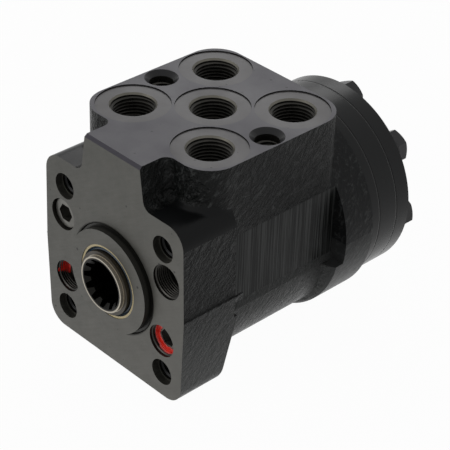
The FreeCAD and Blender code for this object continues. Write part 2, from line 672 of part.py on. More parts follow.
def machine_bores(body):
    """The main bore from the rear, the seal seats and the threads for the cover screws."""
    spin(
        body,
        (ZERO, boss_front - size.overcut),
        (size.dust_seal_radius, boss_front - size.overcut),
        (size.dust_seal_radius, seal_shelf),
        (size.neck_radius + size.neck_gap, seal_shelf),
        (size.neck_radius + size.neck_gap, seal_front),
        (size.shaft_seal_radius, seal_front),
        (size.shaft_seal_radius, bearing_front),
        (bore_radius, bearing_front),
        (bore_radius, size.housing_length + size.overcut),
        (ZERO, size.housing_length + size.overcut),
        cut=True,
    )
    half = size.oil_groove_width / 2.0
    inside, outside = bore_radius - size.overcut, bore_radius + size.oil_groove_depth
    for place in groove_places():
        spin(body, *ring_corners(inside, outside, place - half, place + half), cut=True)
    rear = -size.housing_length
    screw = circle(sketch_on(body, "XZ_Plane", rear), ZERO, size.screw_circle, size.screw_radius + size.thread_gap)
    depth = size.screw_engagement + size.special_screw_extra + size.screw_runout
    around(body, [pocket(body, screw, depth, reverse=True)], size.ring_teeth)
    for radius, depth in (
        (size.suction_bore_radius, size.suction_bore_depth),
        (size.suction_seat_radius, size.suction_bore_depth + size.suction_seat_depth),
    ):
        holes = sketch_on(body, "XZ_Plane", rear)
        for across, up in suction_places.values():
            circle(holes, across, up, radius)
        pocket(body, holes, depth, reverse=True)
    # oil holes from the sleeve to the distribution plate
    radial = sketch_on(body, "XY_Plane", -size.transfer_bore_circle)
    circle(radial, ZERO, transfer_place, size.transfer_bore)
    radial = pocket(body, radial, size.transfer_bore_circle - size.sleeve_radius + size.overcut, reverse=True)
    axial = circle(sketch_on(body, "XZ_Plane", rear), ZERO, -size.transfer_bore_circle, size.transfer_bore)
    axial = pocket(body, axial, size.housing_length - transfer_place, reverse=True)
    around(body, [radial, axial], size.ring_teeth)
    face_groove(body, plate_front)


def face_groove(body, face):
    """Groove of a face O-ring in front of a joint face."""
    half = size.face_seal_cord / 2.0
    depth = size.face_seal_cord - size.face_seal_squeeze
    in_cover = body.Label == "end_cover"
    front = face - size.overcut if in_cover else face - depth
    back = face + depth if in_cover else face + size.overcut
    spin(body, *ring_corners(size.face_seal_radius - half, size.face_seal_radius + half, front, back), cut=True)


housing = new_body("housing")
cast_housing(housing)
machine_outside(housing)
machine_ports(housing)
machine_bores(housing)


# Seals and thrust bearing

def primitive(kind, label, base, turn=None, **fields):
    """A primitive solid with its sizes and place bound to the sheet."""
    item = doc.addObject(f"Part::{kind}", label)
    item.Label = label
    for field, length in fields.items():
        setattr(item, field, length.value)
        bind(item, field, length)
    base = [as_size(value) for value in base]
    place = FreeCAD.Vector(*[value.value for value in base])
    item.Placement = FreeCAD.Placement(place, turn if turn else FreeCAD.Rotation())
    for axis, value in zip("xyz", base):
        bind(item, f"Placement.Base.{axis}", value)
    nodes.append(item)
    return item


seal_bore = size.neck_radius + size.seat_gap
dust_seal = new_body("dust_seal")
lip = size.dust_seal_radius - seal_bore
seal_outside = size.dust_seal_radius - size.seat_gap / 2.0
spin(
    dust_seal,
    (seal_outside, boss_front + size.seal_inset),
    (seal_outside, seal_shelf),
    (seal_bore + lip * 0.45, seal_shelf),
    (seal_bore + lip * 0.3, boss_front + size.dust_seal_depth / 2.0),
    (seal_bore, boss_front + size.dust_seal_depth / 5.0),
    (seal_bore, boss_front + size.dust_seal_depth / 10.0),
    (seal_bore + lip * 0.35, boss_front + size.dust_seal_depth / 4.0),
    (seal_bore + lip * 0.55, boss_front + size.seal_inset),
)
kin_ring = new_body("shaft_seal_ring")
kin_outer = size.shaft_seal_radius - size.seal_cord - size.seat_gap * 2.0
spin(kin_ring, *ring_corners(seal_bore, kin_outer, seal_front + size.seat_gap, bearing_front - size.seat_gap))
cord_middle = (kin_outer + size.shaft_seal_radius) / 2.0
primitive("Torus", "shaft_o_ring", (0, (seal_front + bearing_front) / 2.0, 0), ALONG_SHAFT,
          Radius1=cord_middle, Radius2=size.seal_cord / 2.0)

race_inner = size.neck_radius + size.neck_gap
race_outer = size.sleeve_radius - size.seat_gap
needle_middle = (race_inner + race_outer) / 2.0
needle_inner = needle_middle - size.needle_length / 2.0
needle_place = race_back + size.seat_gap + size.needle_radius
front_race = new_body("bearing_race_front")
spin(front_race, *ring_corners(race_inner, race_outer, race_back - size.race_thickness, race_back))
cage = new_body("bearing_cage")
half_cage = size.cage_thickness / 2.0
cage_edge = size.seat_gap * 4.0
spin(cage, *ring_corners(race_inner + cage_edge, race_outer - cage_edge,
                         needle_place - half_cage, needle_place + half_cage))
window_half = size.needle_radius + size.seat_gap
window_inner = needle_inner - size.seat_gap
window_outer = needle_inner + size.needle_length + size.seat_gap
window = outline(
    sketch_on(cage, "XZ_Plane", -needle_place),
    (-window_half, window_inner),
    (window_half, window_inner),
    (window_half, window_outer),
    (-window_half, window_outer),
)
window = pocket(cage, window, size.cage_thickness * 2.0)
window.SideType = "Symmetric"
around(cage, [window], size.needle_count)
needles = new_body("bearing_needles", several=True)
needle = circle(sketch_on(needles, "XY_Plane", needle_inner), ZERO, needle_place, size.needle_radius)
around(needles, [pad(needles, needle, size.needle_length)], size.needle_count)
rear_race = new_body("bearing_race_rear")
spin(rear_race, *ring_corners(race_inner, race_outer, cage_back, cage_back + size.race_thickness))


# Spool, sleeve and centring springs

def slot(body, role, length, *box):
    """A straight slot through both walls of a tube. The box is (low across, high across, low up, high up)."""
    left, right, low, high = box
    sketch = outline(sketch_on(body, role), (left, low), (right, low), (right, high), (left, high))
    cut = pocket(body, sketch, length)
    cut.SideType = "Symmetric"
    return cut


spool_tip = -size.spool_tip
spline_end = spool_tip + size.spline_length
spool_back = sleeve_back - size.spool_setback
neck_end = sleeve_front + size.neck_overlap
mouth = size.spline_major + size.spline_mouth_gap
spool = new_body("spool")
spin(
    spool,
    (mouth, spool_tip),
    (size.rim_radius, spool_tip),
    (size.rim_radius, spool_tip + size.rim_length),
    (size.neck_radius, spool_tip + size.rim_length),
    (size.neck_radius, neck_end),
    (size.spool_radius, neck_end + (size.spool_radius - size.neck_radius)),
    (size.spool_radius, spool_back),
    (size.spool_bore, spool_back),
    (size.spool_bore, spline_end),
    (size.spline_minor, spline_end),
    (size.spline_minor, spool_tip + (mouth - size.spline_minor)),
)


def spline_space(body, start, length, root, tip, root_width, tip_width):
    """One space between inner splines, repeated round the bore."""
    sketch = outline(
        sketch_on(body, "XZ_Plane", -start),
        (-tip_width / 2.0, tip),
        (tip_width / 2.0, tip),
        (root_width / 2.0, root),
        (-root_width / 2.0, root),
    )
    return around(body, [pocket(body, sketch, length)], size.spline_teeth)


spline_space(spool, spool_tip, size.spline_length, size.spline_major, size.spline_minor - size.tooth_overlap,
             size.spline_root_width, size.spline_tip_width)
spring_half = size.spring_width / 2.0
slot_half = size.spring_opening / 2.0 + size.seat_gap
through = (size.sleeve_radius + size.overcut) * 2.0
slot(spool, "YZ_Plane", through, size.spring_place - spring_half - size.seat_gap * 2.0,
     size.spring_place + spring_half + size.seat_gap * 2.0, -slot_half, slot_half)
pin_slot = size.pin_radius + size.pin_play
slot(spool, "XY_Plane", through, -pin_slot, pin_slot, size.pin_place - size.pin_radius - size.pin_slot_gap,
     size.pin_place + size.pin_radius + size.pin_slot_gap)
oil_half = size.oil_slot_width / 2.0
oil_end = transfer_place + size.oil_slot_reach
oil_slot = outline(
    sketch_on(spool, "XY_Plane", size.spool_radius - size.oil_slot_depth),
    (-oil_half, size.oil_slot_front),
    (oil_half, size.oil_slot_front),
    (oil_half, oil_end),
    (-oil_half, oil_end),
)
around(spool, [pocket(spool, oil_slot, size.spool_radius, reverse=True)], size.ring_teeth - 1)

sleeve = new_body("sleeve")
spin(sleeve, *ring_corners(size.spool_radius + size.running_gap, size.sleeve_radius, sleeve_front, sleeve_back))
ring_half = size.ring_width / 2.0
ring_seat = size.sleeve_radius - size.ring_thickness - size.seat_gap
spin(sleeve, *ring_corners(ring_seat, size.sleeve_radius + size.overcut, size.spring_place - ring_half,
                           size.spring_place + ring_half), cut=True)
slot(sleeve, "YZ_Plane", through, size.spring_place - spring_half - size.seat_gap * 2.0,
     size.spring_place + spring_half + size.seat_gap * 2.0, -slot_half, slot_half)
pin_hole = pocket(sleeve, circle(sketch_on(sleeve, "XY_Plane"), ZERO, size.pin_place, size.pin_radius), through)
pin_hole.SideType = "Symmetric"
oil_rows = sketch_on(sleeve, "XY_Plane")
for place in groove_places():
    circle(oil_rows, ZERO, place, size.oil_hole_radius)
oil_rows = pocket(sleeve, oil_rows, size.sleeve_radius + size.overcut, reverse=True)
around(sleeve, [oil_rows], size.ring_teeth - 1)
gear_row = circle(sketch_on(sleeve, "XY_Plane"), ZERO, transfer_place, size.oil_groove_width / 3.0)
gear_row = pocket(sleeve, gear_row, size.sleeve_radius + size.overcut, reverse=True)
around(sleeve, [gear_row], (size.ring_teeth - 1) * 2.0)

cross_pin = primitive("Cylinder", "cross_pin", (0, size.pin_place, size.seat_gap * 8.0 - size.sleeve_radius),
                      Radius=size.pin_radius, Height=size.sleeve_radius * 2.0 - size.seat_gap * 16.0)
ring = new_body("spring_retaining_ring")
ring_inner = ring_seat + size.seat_gap
spin(ring, *ring_corners(ring_inner, size.sleeve_radius - size.seat_gap,
                         size.spring_place - ring_half + size.seat_gap,
                         size.spring_place + ring_half - size.seat_gap))
springs = new_body("centring_springs", several=True)
leaf_half = ring_inner - size.seat_gap * 4.0
leaf_gap = size.seat_gap / 2.0
bow = size.spring_opening / 2.0 - size.spring_thickness * 2.0 - leaf_gap * 2.0
bow_radius = (leaf_half * leaf_half + bow * bow) / (bow * 2.0)
leaves = sketch_on(springs, "XZ_Plane", -(size.spring_place - spring_half))
for leaf in (0, 1):
    low = bow + leaf_gap + leaf * (size.spring_thickness + leaf_gap)
    high = low + size.spring_thickness
    outline(leaves, (-leaf_half, low, bow_radius), (leaf_half, low), (leaf_half, high, -bow_radius),
            (-leaf_half, high))
    outline(leaves, (leaf_half, -low, bow_radius), (-leaf_half, -low), (-leaf_half, -high, -bow_radius),
            (leaf_half, -high))
pad(springs, leaves, size.spring_width, reverse=True)


# Cardan shaft, built along its own axis from the cross pin and then leaned towards the star

spacer_front = cover_front - size.spacer_thickness - size.seat_gap
gear_middle = ring_front + size.gear_width / 2.0
head_end = spacer_front - size.pin_place - size.seat_gap * 11.0
head_start = head_end - size.head_length
stem_step = size.fork_radius - size.cardan_radius
cardan = new_body("cardan_shaft")
spin(
    cardan,
    (ZERO, -size.fork_reach),
    (size.fork_radius, -size.fork_reach),
    (size.fork_radius, size.pin_radius * 2.0),
    (size.cardan_radius, size.pin_radius * 2.0 + stem_step),
    (size.cardan_radius, head_start - (size.head_root - size.cardan_radius) * 2.0),
    (size.head_root, head_start),
    (size.head_root, head_end),
    (ZERO, head_end),
)
fork_half = size.pin_radius + size.fork_play
fork = outline(
    sketch_on(cardan, "XZ_Plane", size.fork_reach),
    (-fork_half, -size.fork_radius - size.overcut),
    (fork_half, -size.fork_radius - size.overcut),
    (fork_half, size.fork_radius + size.overcut),
    (-fork_half, size.fork_radius + size.overcut),
)
pocket(cardan, fork, size.fork_reach + size.pin_radius + size.fork_play * 5.0)
tooth_tip = size.spline_root_width - size.head_play * 2.0
tooth_root = size.spline_tip_width - size.head_play * 2.0
tooth = outline(
    sketch_on(cardan, "XZ_Plane", -head_start),
    (-tooth_root / 2.0, size.head_root - size.tooth_overlap),
    (tooth_root / 2.0, size.head_root - size.tooth_overlap),
    (tooth_tip / 2.0, size.head_radius),
    (-tooth_tip / 2.0, size.head_radius),
)
around(cardan, [pad(cardan, tooth, size.head_length, reverse=True)], size.spline_teeth)
crown_half = size.head_length / 2.0
crown_radius = (crown_half * crown_half + size.head_crown * size.head_crown) / (size.head_crown * 2.0)
spin(
    cardan,
    (size.head_radius - size.head_crown, head_start, crown_radius),
    (size.head_radius - size.head_crown, head_end),
    (size.head_radius + size.overcut, head_end),
    (size.head_radius + size.overcut, head_start),
    cut=True,
)
lean_base = gear_middle - size.pin_place
lean = math.degrees(math.atan2(size.eccentricity.value, lean_base.value))
lean_turn = FreeCAD.Rotation(FreeCAD.Vector(1, 0, 0), lean)
cardan.Placement = FreeCAD.Placement(FreeCAD.Vector(0, size.pin_place.value, 0), lean_turn)
bind(cardan, "Placement.Base.y", size.pin_place)
cardan.setExpression("Placement.Rotation.Angle", f"atan({size.eccentricity.text} / {lean_base.text})")

primitive("Cylinder", "spacer", (0, spacer_front, size.eccentricity), ALONG_SHAFT,
          Radius=size.spacer_radius, Height=size.spacer_thickness)


# Gear set between the distribution plate and the end cover

def disc(body, front, back, bore):
    if bore is None:
        return spin(body, (ZERO, front), (size.drum_radius, front), (size.drum_radius, back), (ZERO, back))
    return spin(body, *ring_corners(bore, size.drum_radius, front, back))


def screw_holes(body, front, thickness):
    hole = circle(sketch_on(body, "XZ_Plane", -front), ZERO, size.screw_circle, size.screw_hole_radius)
    return pocket(body, hole, thickness)


plate = new_body("distribution_plate")
disc(plate, plate_front, ring_front, size.plate_bore)
transfer = circle(sketch_on(plate, "XZ_Plane", -plate_front), ZERO, -size.transfer_circle, size.transfer_radius)
around(plate, [screw_holes(plate, plate_front, size.plate_thickness), pocket(plate, transfer, size.plate_thickness)],
       size.ring_teeth)
pin_seats = sketch_on(plate, "XZ_Plane", -plate_front)
for across, up in suction_places.values():
    circle(pin_seats, across, up, size.suction_pin_radius + size.thread_gap)
pocket(plate, pin_seats, size.suction_pin_seat)
face_groove(plate, ring_front)

valley_radius = size.tooth_circle + size.eccentricity * 2.0 - size.tooth_radius + size.valley_gap
gear_ring = new_body("gear_ring")
disc(gear_ring, ring_front, cover_front, valley_radius)
tooth = circle(sketch_on(gear_ring, "XZ_Plane", -ring_front), ZERO, size.tooth_circle, size.tooth_radius)
tooth = pad(gear_ring, tooth, size.gear_width, reverse=True)
around(gear_ring, [tooth, screw_holes(gear_ring, ring_front, size.gear_width)], size.ring_teeth)


def star_outline(points_per_lobe):
    """Points of the star: an epitrochoid pulled inwards by the tooth radius, a hollow facing the top tooth."""
    lobes = int(size.ring_teeth.value) - 1
    reach = size.tooth_radius.value + size.mesh_gap.value
    wide, offset = size.tooth_circle.value, size.eccentricity.value
    points = []
    for index in range(lobes * points_per_lobe):
        turn = 2.0 * math.pi * index / (lobes * points_per_lobe)
        fast = turn * (lobes + 1)
        across = wide * math.cos(turn) - offset * math.cos(fast)
        up = wide * math.sin(turn) - offset * math.sin(fast)
        slope_across = offset * (lobes + 1) * math.sin(fast) - wide * math.sin(turn)
        slope_up = wide * math.cos(turn) - offset * (lobes + 1) * math.cos(fast)
        speed = math.hypot(slope_across, slope_up)
        across -= reach * slope_up / speed
        up += reach * slope_across / speed
        points.append(FreeCAD.Vector(-up, across, 0))
    return points


star = new_body("gear_star")
star_sketch = sketch_on(star, "XZ_Plane", -(ring_front + size.gear_side_gap))
curve = Part.BSplineCurve()
curve.interpolate(Points=star_outline(40), PeriodicFlag=True)
star_sketch.addGeometry(curve)
star_width = size.gear_width - size.gear_side_gap * 2.0
pad(star, star_sketch, star_width, reverse=True)
pocket(star, circle(sketch_on(star, "XZ_Plane", -ring_front), ZERO, ZERO, size.star_bore_tip), size.gear_width)
spline_space(star, ring_front, size.gear_width, size.star_bore_root, size.star_bore_tip - size.tooth_overlap,
             size.spline_root_width, size.spline_tip_width)
star.Placement = FreeCAD.Placement(FreeCAD.Vector(0, 0, size.eccentricity.value), FreeCAD.Rotation())
bind(star, "Placement.Base.z", size.eccentricity)

cover = new_body("end_cover")
spin(
    cover,
    (ZERO, cover_front),
    (size.drum_radius, cover_front),
    (size.drum_radius, cover_back - size.cover_bevel),
    (size.drum_radius - size.cover_bevel, cover_back),
    (ZERO, cover_back),
)
around(cover, [screw_holes(cover, cover_front, size.cover_thickness)], size.ring_teeth)
face_groove(cover, cover_front)

seal_high = size.face_seal_cord - size.face_seal_squeeze - size.seat_gap
seal_round = seal_high / 2.0
seal_flat = size.face_seal_cord / 2.0 - seal_round - size.seat_gap / 2.0
for label, place in (
    ("face_o_ring_front", plate_front - seal_high - size.seat_gap / 2.0),
    ("face_o_ring_middle", ring_front - seal_high - size.seat_gap / 2.0),
    ("face_o_ring_rear", cover_front + size.seat_gap / 2.0),
):
    o_ring = new_body(label)
    spin(
        o_ring,
        (size.face_seal_radius - seal_flat, place),
        (size.face_seal_radius + seal_flat, place, seal_round),
        (size.face_seal_radius + seal_flat, place + seal_high),
        (size.face_seal_radius - seal_flat, place + seal_high, seal_round),
    )


# Screws with washers

head_place = cover_back + size.washer_thickness
head_top = head_place + size.screw_head_height


def screw(body, across, up, tip):
    """A hex head screw from its head to its tip inside the housing."""
    head = pad(body, hexagon(sketch_on(body, "XZ_Plane", -head_place), across, up, size.screw_head_flats),
               size.screw_head_height, reverse=True)
    half_flats = size.screw_head_flats / 2.0
    bevel = spin(
        body,
        (half_flats, head_top),
        (half_flats + size.head_bevel_width, head_top),
        (half_flats + size.head_bevel_width, head_top - size.head_bevel_height),
        cut=True, across=across, up=up,
    )
    shank = spin(
        body,
        (ZERO, tip),
        (size.screw_radius - size.screw_tip_bevel, tip),
        (size.screw_radius, tip + size.screw_tip_bevel),
        (size.screw_radius, head_place),
        (ZERO, head_place),
        across=across, up=up,
    )
    return [head, bevel, shank]


common = size.ring_teeth.value - 3.0
start = -common * teeth_step
screws = new_body("cover_screws", several=True)
common_tip = plate_front - size.screw_engagement
first = screw(screws, size.screw_circle * -math.sin(start), size.screw_circle * math.cos(start), common_tip)
around(screws, first, size.ring_teeth - 1, 360.0 * (size.ring_teeth.value - 2) / size.ring_teeth.value)
special = new_body("special_screw")
spot = -(common - 1) * teeth_step
screw(special, size.screw_circle * -math.sin(spot), size.screw_circle * math.cos(spot),
      common_tip - size.special_screw_extra)
washers = new_body("screw_washers", several=True)
disc_sketch = sketch_on(washers, "XZ_Plane", -cover_back)
circle(disc_sketch, ZERO, size.screw_circle, size.washer_radius)
circle(disc_sketch, ZERO, size.screw_circle, size.screw_radius + size.seat_gap)
around(washers, [pad(washers, disc_sketch, size.washer_thickness, reverse=True)], size.ring_teeth)


# Valves in the four bores of the mounting face

def plug(label, across, up, place, radius):
    """A threaded plug with a hex socket, bevelled at both ends."""
    body = new_body(label)
    outside = radius - size.thread_gap
    back = place + size.plug_length
    spin(
        body,
        (ZERO, place),
        (outside - size.plug_bevel, place),
        (outside, place + size.plug_bevel),
        (outside, back - size.plug_bevel),
        (outside - size.plug_bevel, back),
        (ZERO, back),
        across=across, up=up,
    )
    socket = hexagon(sketch_on(body, "XZ_Plane", -place), across, up, size.plug_socket)
    pocket(body, socket, size.plug_socket_depth)
    return back


seat_front = size.valve_chamber_depth - size.seat_length
cone_start = seat_front - (size.poppet_radius - size.seat_bore) - size.seat_gap
collar_back = cone_start - size.poppet_stem / 2.0
collar_front = collar_back - size.poppet_collar_length
for name, (across, up, place) in valve_places.items():
    plug_back = plug(f"{name}_plug", across, up, place, size.valve_bore_radius)
    seat = new_body(f"{name}_seat")
    seat_outside = size.valve_chamber_radius - size.thread_gap
    seat_back = size.valve_chamber_depth - size.seat_gap
    spin(seat, *ring_corners(size.seat_bore, seat_outside, seat_front, seat_back), across=across, up=up)
    poppet = new_body(f"{name}_poppet")
    spin(
        poppet,
        (ZERO, collar_front - size.poppet_stem_length),
        (size.poppet_stem, collar_front - size.poppet_stem_length),
        (size.poppet_stem, collar_front),
        (size.poppet_collar, collar_front),
        (size.poppet_collar, collar_back),
        (size.poppet_radius, collar_back),
        (size.poppet_radius, cone_start),
        (size.poppet_tip, cone_start + (size.poppet_radius - size.poppet_tip)),
        (ZERO, cone_start + (size.poppet_radius - size.poppet_tip)),
        across=across, up=up,
    )
    coil = new_body(f"{name}_spring")
    profile = sketch_on(coil, "YZ_Plane", across)
    axis = profile.addGeometry(Part.LineSegment(FreeCAD.Vector(0, up.value, 0), FreeCAD.Vector(1, up.value, 0)))
    profile.toggleConstruction(axis)
    for end in (1, 2):
        hold(profile, "DistanceX", -1, 1, axis, end, length=as_size(end - 1))
        hold(profile, "DistanceY", -1, 1, axis, end, length=up)
    room = size.coil_wire + size.seat_gap
    circle(profile, plug_back + room, up + size.coil_radius, size.coil_wire)
    helix = coil.newObject("PartDesign::AdditiveHelix", f"{name}_helix")
    helix.Profile = profile
    helix.ReferenceAxis = (profile, ["Axis0"])
    helix.Mode = 2
    bind(helix, "Height", collar_front - plug_back - room * 2.0)
    bind(helix, "Turns", size.coil_turns)
plug("gallery_plug", *gallery_place, size.gallery_plug_place, size.gallery_radius)


# Check valve under the pressure port and the two suction valves

bush = new_body("check_bushing")
bush_outside = size.check_bore_radius - size.thread_gap
bush_sketch = sketch_on(bush, "XY_Plane", check_seat + size.seat_gap)
circle(bush_sketch, -port_x, port_front_y, bush_outside)
circle(bush_sketch, -port_x, port_front_y, size.check_bush_bore)
pad(bush, bush_sketch, size.check_bush_length - size.seat_gap * 2.0)


def seated_drop(ball, seat):
    """How far the middle of a ball stands behind the edge of its seat."""
    return Size(math.sqrt(ball.value ** 2 - seat.value ** 2), f"sqrt({ball.text} ^ 2 - {seat.text} ^ 2)")


ball_low = check_seat - seated_drop(size.check_ball_radius, size.check_bush_bore) - size.check_lift
primitive("Sphere", "check_ball", (-port_x, port_front_y, ball_low), Radius=size.check_ball_radius)
pin_foot = check_base - size.check_pin_root + size.seat_gap
pin_head = ball_low - size.check_ball_radius - size.seat_gap
primitive("Cylinder", "check_ball_pin", (-port_x, port_front_y, pin_foot),
          Radius=size.check_pin_radius, Height=pin_head - pin_foot)
for side, (across, up) in suction_places.items():
    seat_place = plate_front - size.suction_bore_depth
    ball_place = seat_place + seated_drop(size.suction_ball_radius, size.suction_seat_radius) + size.seat_gap
    primitive("Sphere", f"suction_ball_{side}", (across, ball_place, up), Radius=size.suction_ball_radius)
    pin_front = ball_place + size.suction_lift + size.suction_ball_radius + size.seat_gap
    primitive("Cylinder", f"suction_pin_{side}", (across, pin_front, up), ALONG_SHAFT,
              Radius=size.suction_pin_radius, Height=plate_front + size.suction_pin_seat - size.seat_gap - pin_front)


# Check every piece and write it out

doc.recompute()
broken = [item.Name for item in doc.Objects if {"Invalid", "Error"} & set(item.State)]
if broken:
    raise SystemExit(f"broken features: {broken}")
os.makedirs("parts", exist_ok=True)
for node in nodes:
    if node.Shape.isNull() or not node.Shape.isValid() or node.Shape.Volume <= 0:
        raise SystemExit(f"no valid solid in {node.Label}")
    node.Shape.exportStep(f"parts/{node.Label}.step")
print(len(nodes), "nodes,", sum(len(node.Shape.Solids) for node in nodes), "solids")
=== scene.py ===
import json
import math

import bmesh
import bpy
import numpy as np
from mathutils import Matrix, Vector


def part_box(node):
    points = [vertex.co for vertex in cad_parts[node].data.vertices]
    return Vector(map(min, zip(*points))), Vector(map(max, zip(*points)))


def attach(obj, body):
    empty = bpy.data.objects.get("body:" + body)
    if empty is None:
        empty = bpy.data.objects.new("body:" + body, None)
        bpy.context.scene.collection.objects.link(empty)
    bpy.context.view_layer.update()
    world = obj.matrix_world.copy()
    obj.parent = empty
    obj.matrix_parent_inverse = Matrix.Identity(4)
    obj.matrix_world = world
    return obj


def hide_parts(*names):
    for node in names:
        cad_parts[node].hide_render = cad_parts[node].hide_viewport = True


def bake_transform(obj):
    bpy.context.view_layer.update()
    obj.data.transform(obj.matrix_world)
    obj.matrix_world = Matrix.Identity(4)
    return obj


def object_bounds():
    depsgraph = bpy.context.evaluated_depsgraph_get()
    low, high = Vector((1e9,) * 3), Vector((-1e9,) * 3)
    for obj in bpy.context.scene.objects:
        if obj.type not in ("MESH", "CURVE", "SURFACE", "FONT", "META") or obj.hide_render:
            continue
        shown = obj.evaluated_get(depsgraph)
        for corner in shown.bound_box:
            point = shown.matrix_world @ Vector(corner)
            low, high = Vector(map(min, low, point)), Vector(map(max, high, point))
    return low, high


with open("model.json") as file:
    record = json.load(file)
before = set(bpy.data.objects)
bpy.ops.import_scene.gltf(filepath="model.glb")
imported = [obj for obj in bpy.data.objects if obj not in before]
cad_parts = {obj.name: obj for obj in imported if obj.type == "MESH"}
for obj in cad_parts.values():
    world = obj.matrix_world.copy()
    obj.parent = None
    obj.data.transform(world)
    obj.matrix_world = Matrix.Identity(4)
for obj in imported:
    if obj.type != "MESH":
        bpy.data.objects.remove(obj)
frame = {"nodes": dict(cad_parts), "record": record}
cad_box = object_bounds()
MM = 0.001


# Camera at the photograph's viewing angle

LOOK_AT = Vector((0.0, 0.060, 0.0))
AZIMUTH = math.radians(45.66)
ELEVATION = math.radians(33.63)
ROLL = math.radians(1.9)
DISTANCE = 0.69761
SIDEWAYS = 0.00045
UPWARDS = -0.00054
FOCAL_PIXELS = 1682.85
IMAGE_PIXELS = 450
SENSOR_MM = 36.0


def set_camera():
    back = Vector((
        math.sin(AZIMUTH) * math.cos(ELEVATION),
        -math.cos(AZIMUTH) * math.cos(ELEVATION),
        math.sin(ELEVATION),
    ))
    level = Vector((math.cos(AZIMUTH), math.sin(AZIMUTH), 0.0))
    upright = back.cross(level)
    right = level * math.cos(ROLL) + upright * math.sin(ROLL)
    up = upright * math.cos(ROLL) - level * math.sin(ROLL)
    eye = LOOK_AT + back * DISTANCE + level * SIDEWAYS + upright * UPWARDS
    data = bpy.data.cameras.new("camera")
    data.sensor_width = SENSOR_MM
    data.lens = FOCAL_PIXELS / IMAGE_PIXELS * SENSOR_MM
    camera = bpy.data.objects.new("camera", data)
    turn = Matrix((right, up, back)).transposed()
    camera.matrix_world = Matrix.Translation(eye) @ turn.to_4x4()
    bpy.context.scene.collection.objects.link(camera)
    bpy.context.scene.camera = camera


# Node materials

class Shader:
    """A material built from nodes, with its textures in the row frame's metres."""

    def __init__(self, name, roughness=0.5, metallic=0.0, **uniform):
        self.material = bpy.data.materials.new(name)
        self.material.use_nodes = True
        self.tree = self.material.node_tree
        self.surface = self.tree.nodes["Principled BSDF"]
        self.surface.inputs["Roughness"].default_value = roughness
        self.surface.inputs["Metallic"].default_value = metallic
        for socket, value in uniform.items():
            self.surface.inputs[socket.replace("_", " ")].default_value = value

    def node(self, kind, inputs=None, **settings):
        node = self.tree.nodes.new(f"ShaderNode{kind}")
        for field, value in settings.items():
            setattr(node, field, value)
        for socket, value in (inputs or {}).items():
            if isinstance(value, bpy.types.NodeSocket):
                self.tree.links.new(value, node.inputs[socket])
            else:
                node.inputs[socket].default_value = value
        return node

    def place(self, stretch=(1.0, 1.0, 1.0), turn=(0.0, 0.0, 0.0)):
        """Object coordinates, turned and then stretched. A small factor draws the texture out that way."""
        coordinates = self.node("TexCoord").outputs["Object"]
        turned = self.node("Mapping", {"Vector": coordinates, "Rotation": turn}).outputs[0]
        return self.node("Mapping", {"Vector": turned, "Scale": stretch}).outputs[0]

    def noise(self, scale, detail=2.0, rough=0.5, distortion=0.0, **where):
        inputs = {"Vector": self.place(**where), "Scale": scale, "Detail": detail}
        inputs.update({"Roughness": rough, "Distortion": distortion})
        return self.node("TexNoise", inputs).outputs["Fac"]

    def axes(self):
        """Object coordinates as three values."""
        return self.node("SeparateXYZ", {0: self.node("TexCoord").outputs["Object"]}).outputs

    def reach(self):
        """Distance from the shaft axis."""
        across, _, up = self.axes()
        return self.math("SQRT", self.math("ADD", self.math("MULTIPLY", across, across),
                                           self.math("MULTIPLY", up, up)))

    def rings(self, scale, detail=3.0):
        """Turning marks round the shaft."""
        place = self.node("CombineXYZ", {0: self.reach(), 1: self.axes()[1]}).outputs[0]
        return self.node("TexNoise", {"Vector": place, "Scale": scale, "Detail": detail}).outputs["Fac"]

    def nicks(self, first, second, scale, size):
        """Small marks scattered over a flat face along two of its axes: 0 in a mark and 1 beside it."""
        axes = self.axes()
        flat = self.node("CombineXYZ", {0: axes[first], 1: axes[second]}).outputs[0]
        cells = self.node("TexVoronoi", {"Vector": flat, "Scale": scale}, voronoi_dimensions="2D")
        chance = self.node("SeparateColor", {0: cells.outputs["Color"]}).outputs[0]
        radius = self.span(chance, 0.5, 1.0, 0.0, size)
        return self.math("GREATER_THAN", cells.outputs["Distance"], radius)

    def span(self, value, low, high, to_low=0.0, to_high=1.0):
        """Map low..high to to_low..to_high, clamped."""
        inputs = {"Value": value, "From Min": low, "From Max": high, "To Min": to_low, "To Max": to_high}
        return self.node("MapRange", inputs).outputs[0]

    def math(self, operation, first, second=0.0):
        return self.node("Math", {0: first, 1: second}, operation=operation).outputs[0]

    def mix(self, share, first, second):
        node = self.node("Mix", data_type="RGBA")
        for index, value in ((0, share), (6, first), (7, second)):
            if isinstance(value, bpy.types.NodeSocket):
                self.tree.links.new(value, node.inputs[index])
            else:
                node.inputs[index].default_value = value if index == 0 else (*value, 1.0)
        return node.outputs[2]

    def bump(self, height, depth_mm):
        inputs = {"Height": height, "Distance": depth_mm * MM, "Strength": 1.0}
        return self.node("Bump", inputs).outputs["Normal"]

    def finish(self, colour=None, roughness=None, normal=None):
        for socket, value in (("Base Color", colour), ("Roughness", roughness), ("Normal", normal)):
            if value is not None:
                self.tree.links.new(value, self.surface.inputs[socket])
        return self.material


# Black paint on the casting. The grain of the sand mould runs slantwise over the sides.
GRAIN_TURN = (math.radians(-48.0), 0.0, math.radians(12.0))
GRAIN_STRETCH = (1.0, 0.4, 1.0)
# Colour of the painted glints on the crests of the casting's grain.
PAINTED_GLINT_COLOUR = (0.1, 0.104, 0.103)

# The photo's light fades the lower faces towards white. The lamps don't, so the casting and the drum are
# lightened towards the bottom in their material. It isn't a feature of the real paint.
FADE_COLOUR = (0.22, 0.226, 0.222)
CAST_BOTTOM = -45.0 * MM
DRUM_BOTTOM = -43.0 * MM
DRUM_FADE_TOP = -8.0 * MM


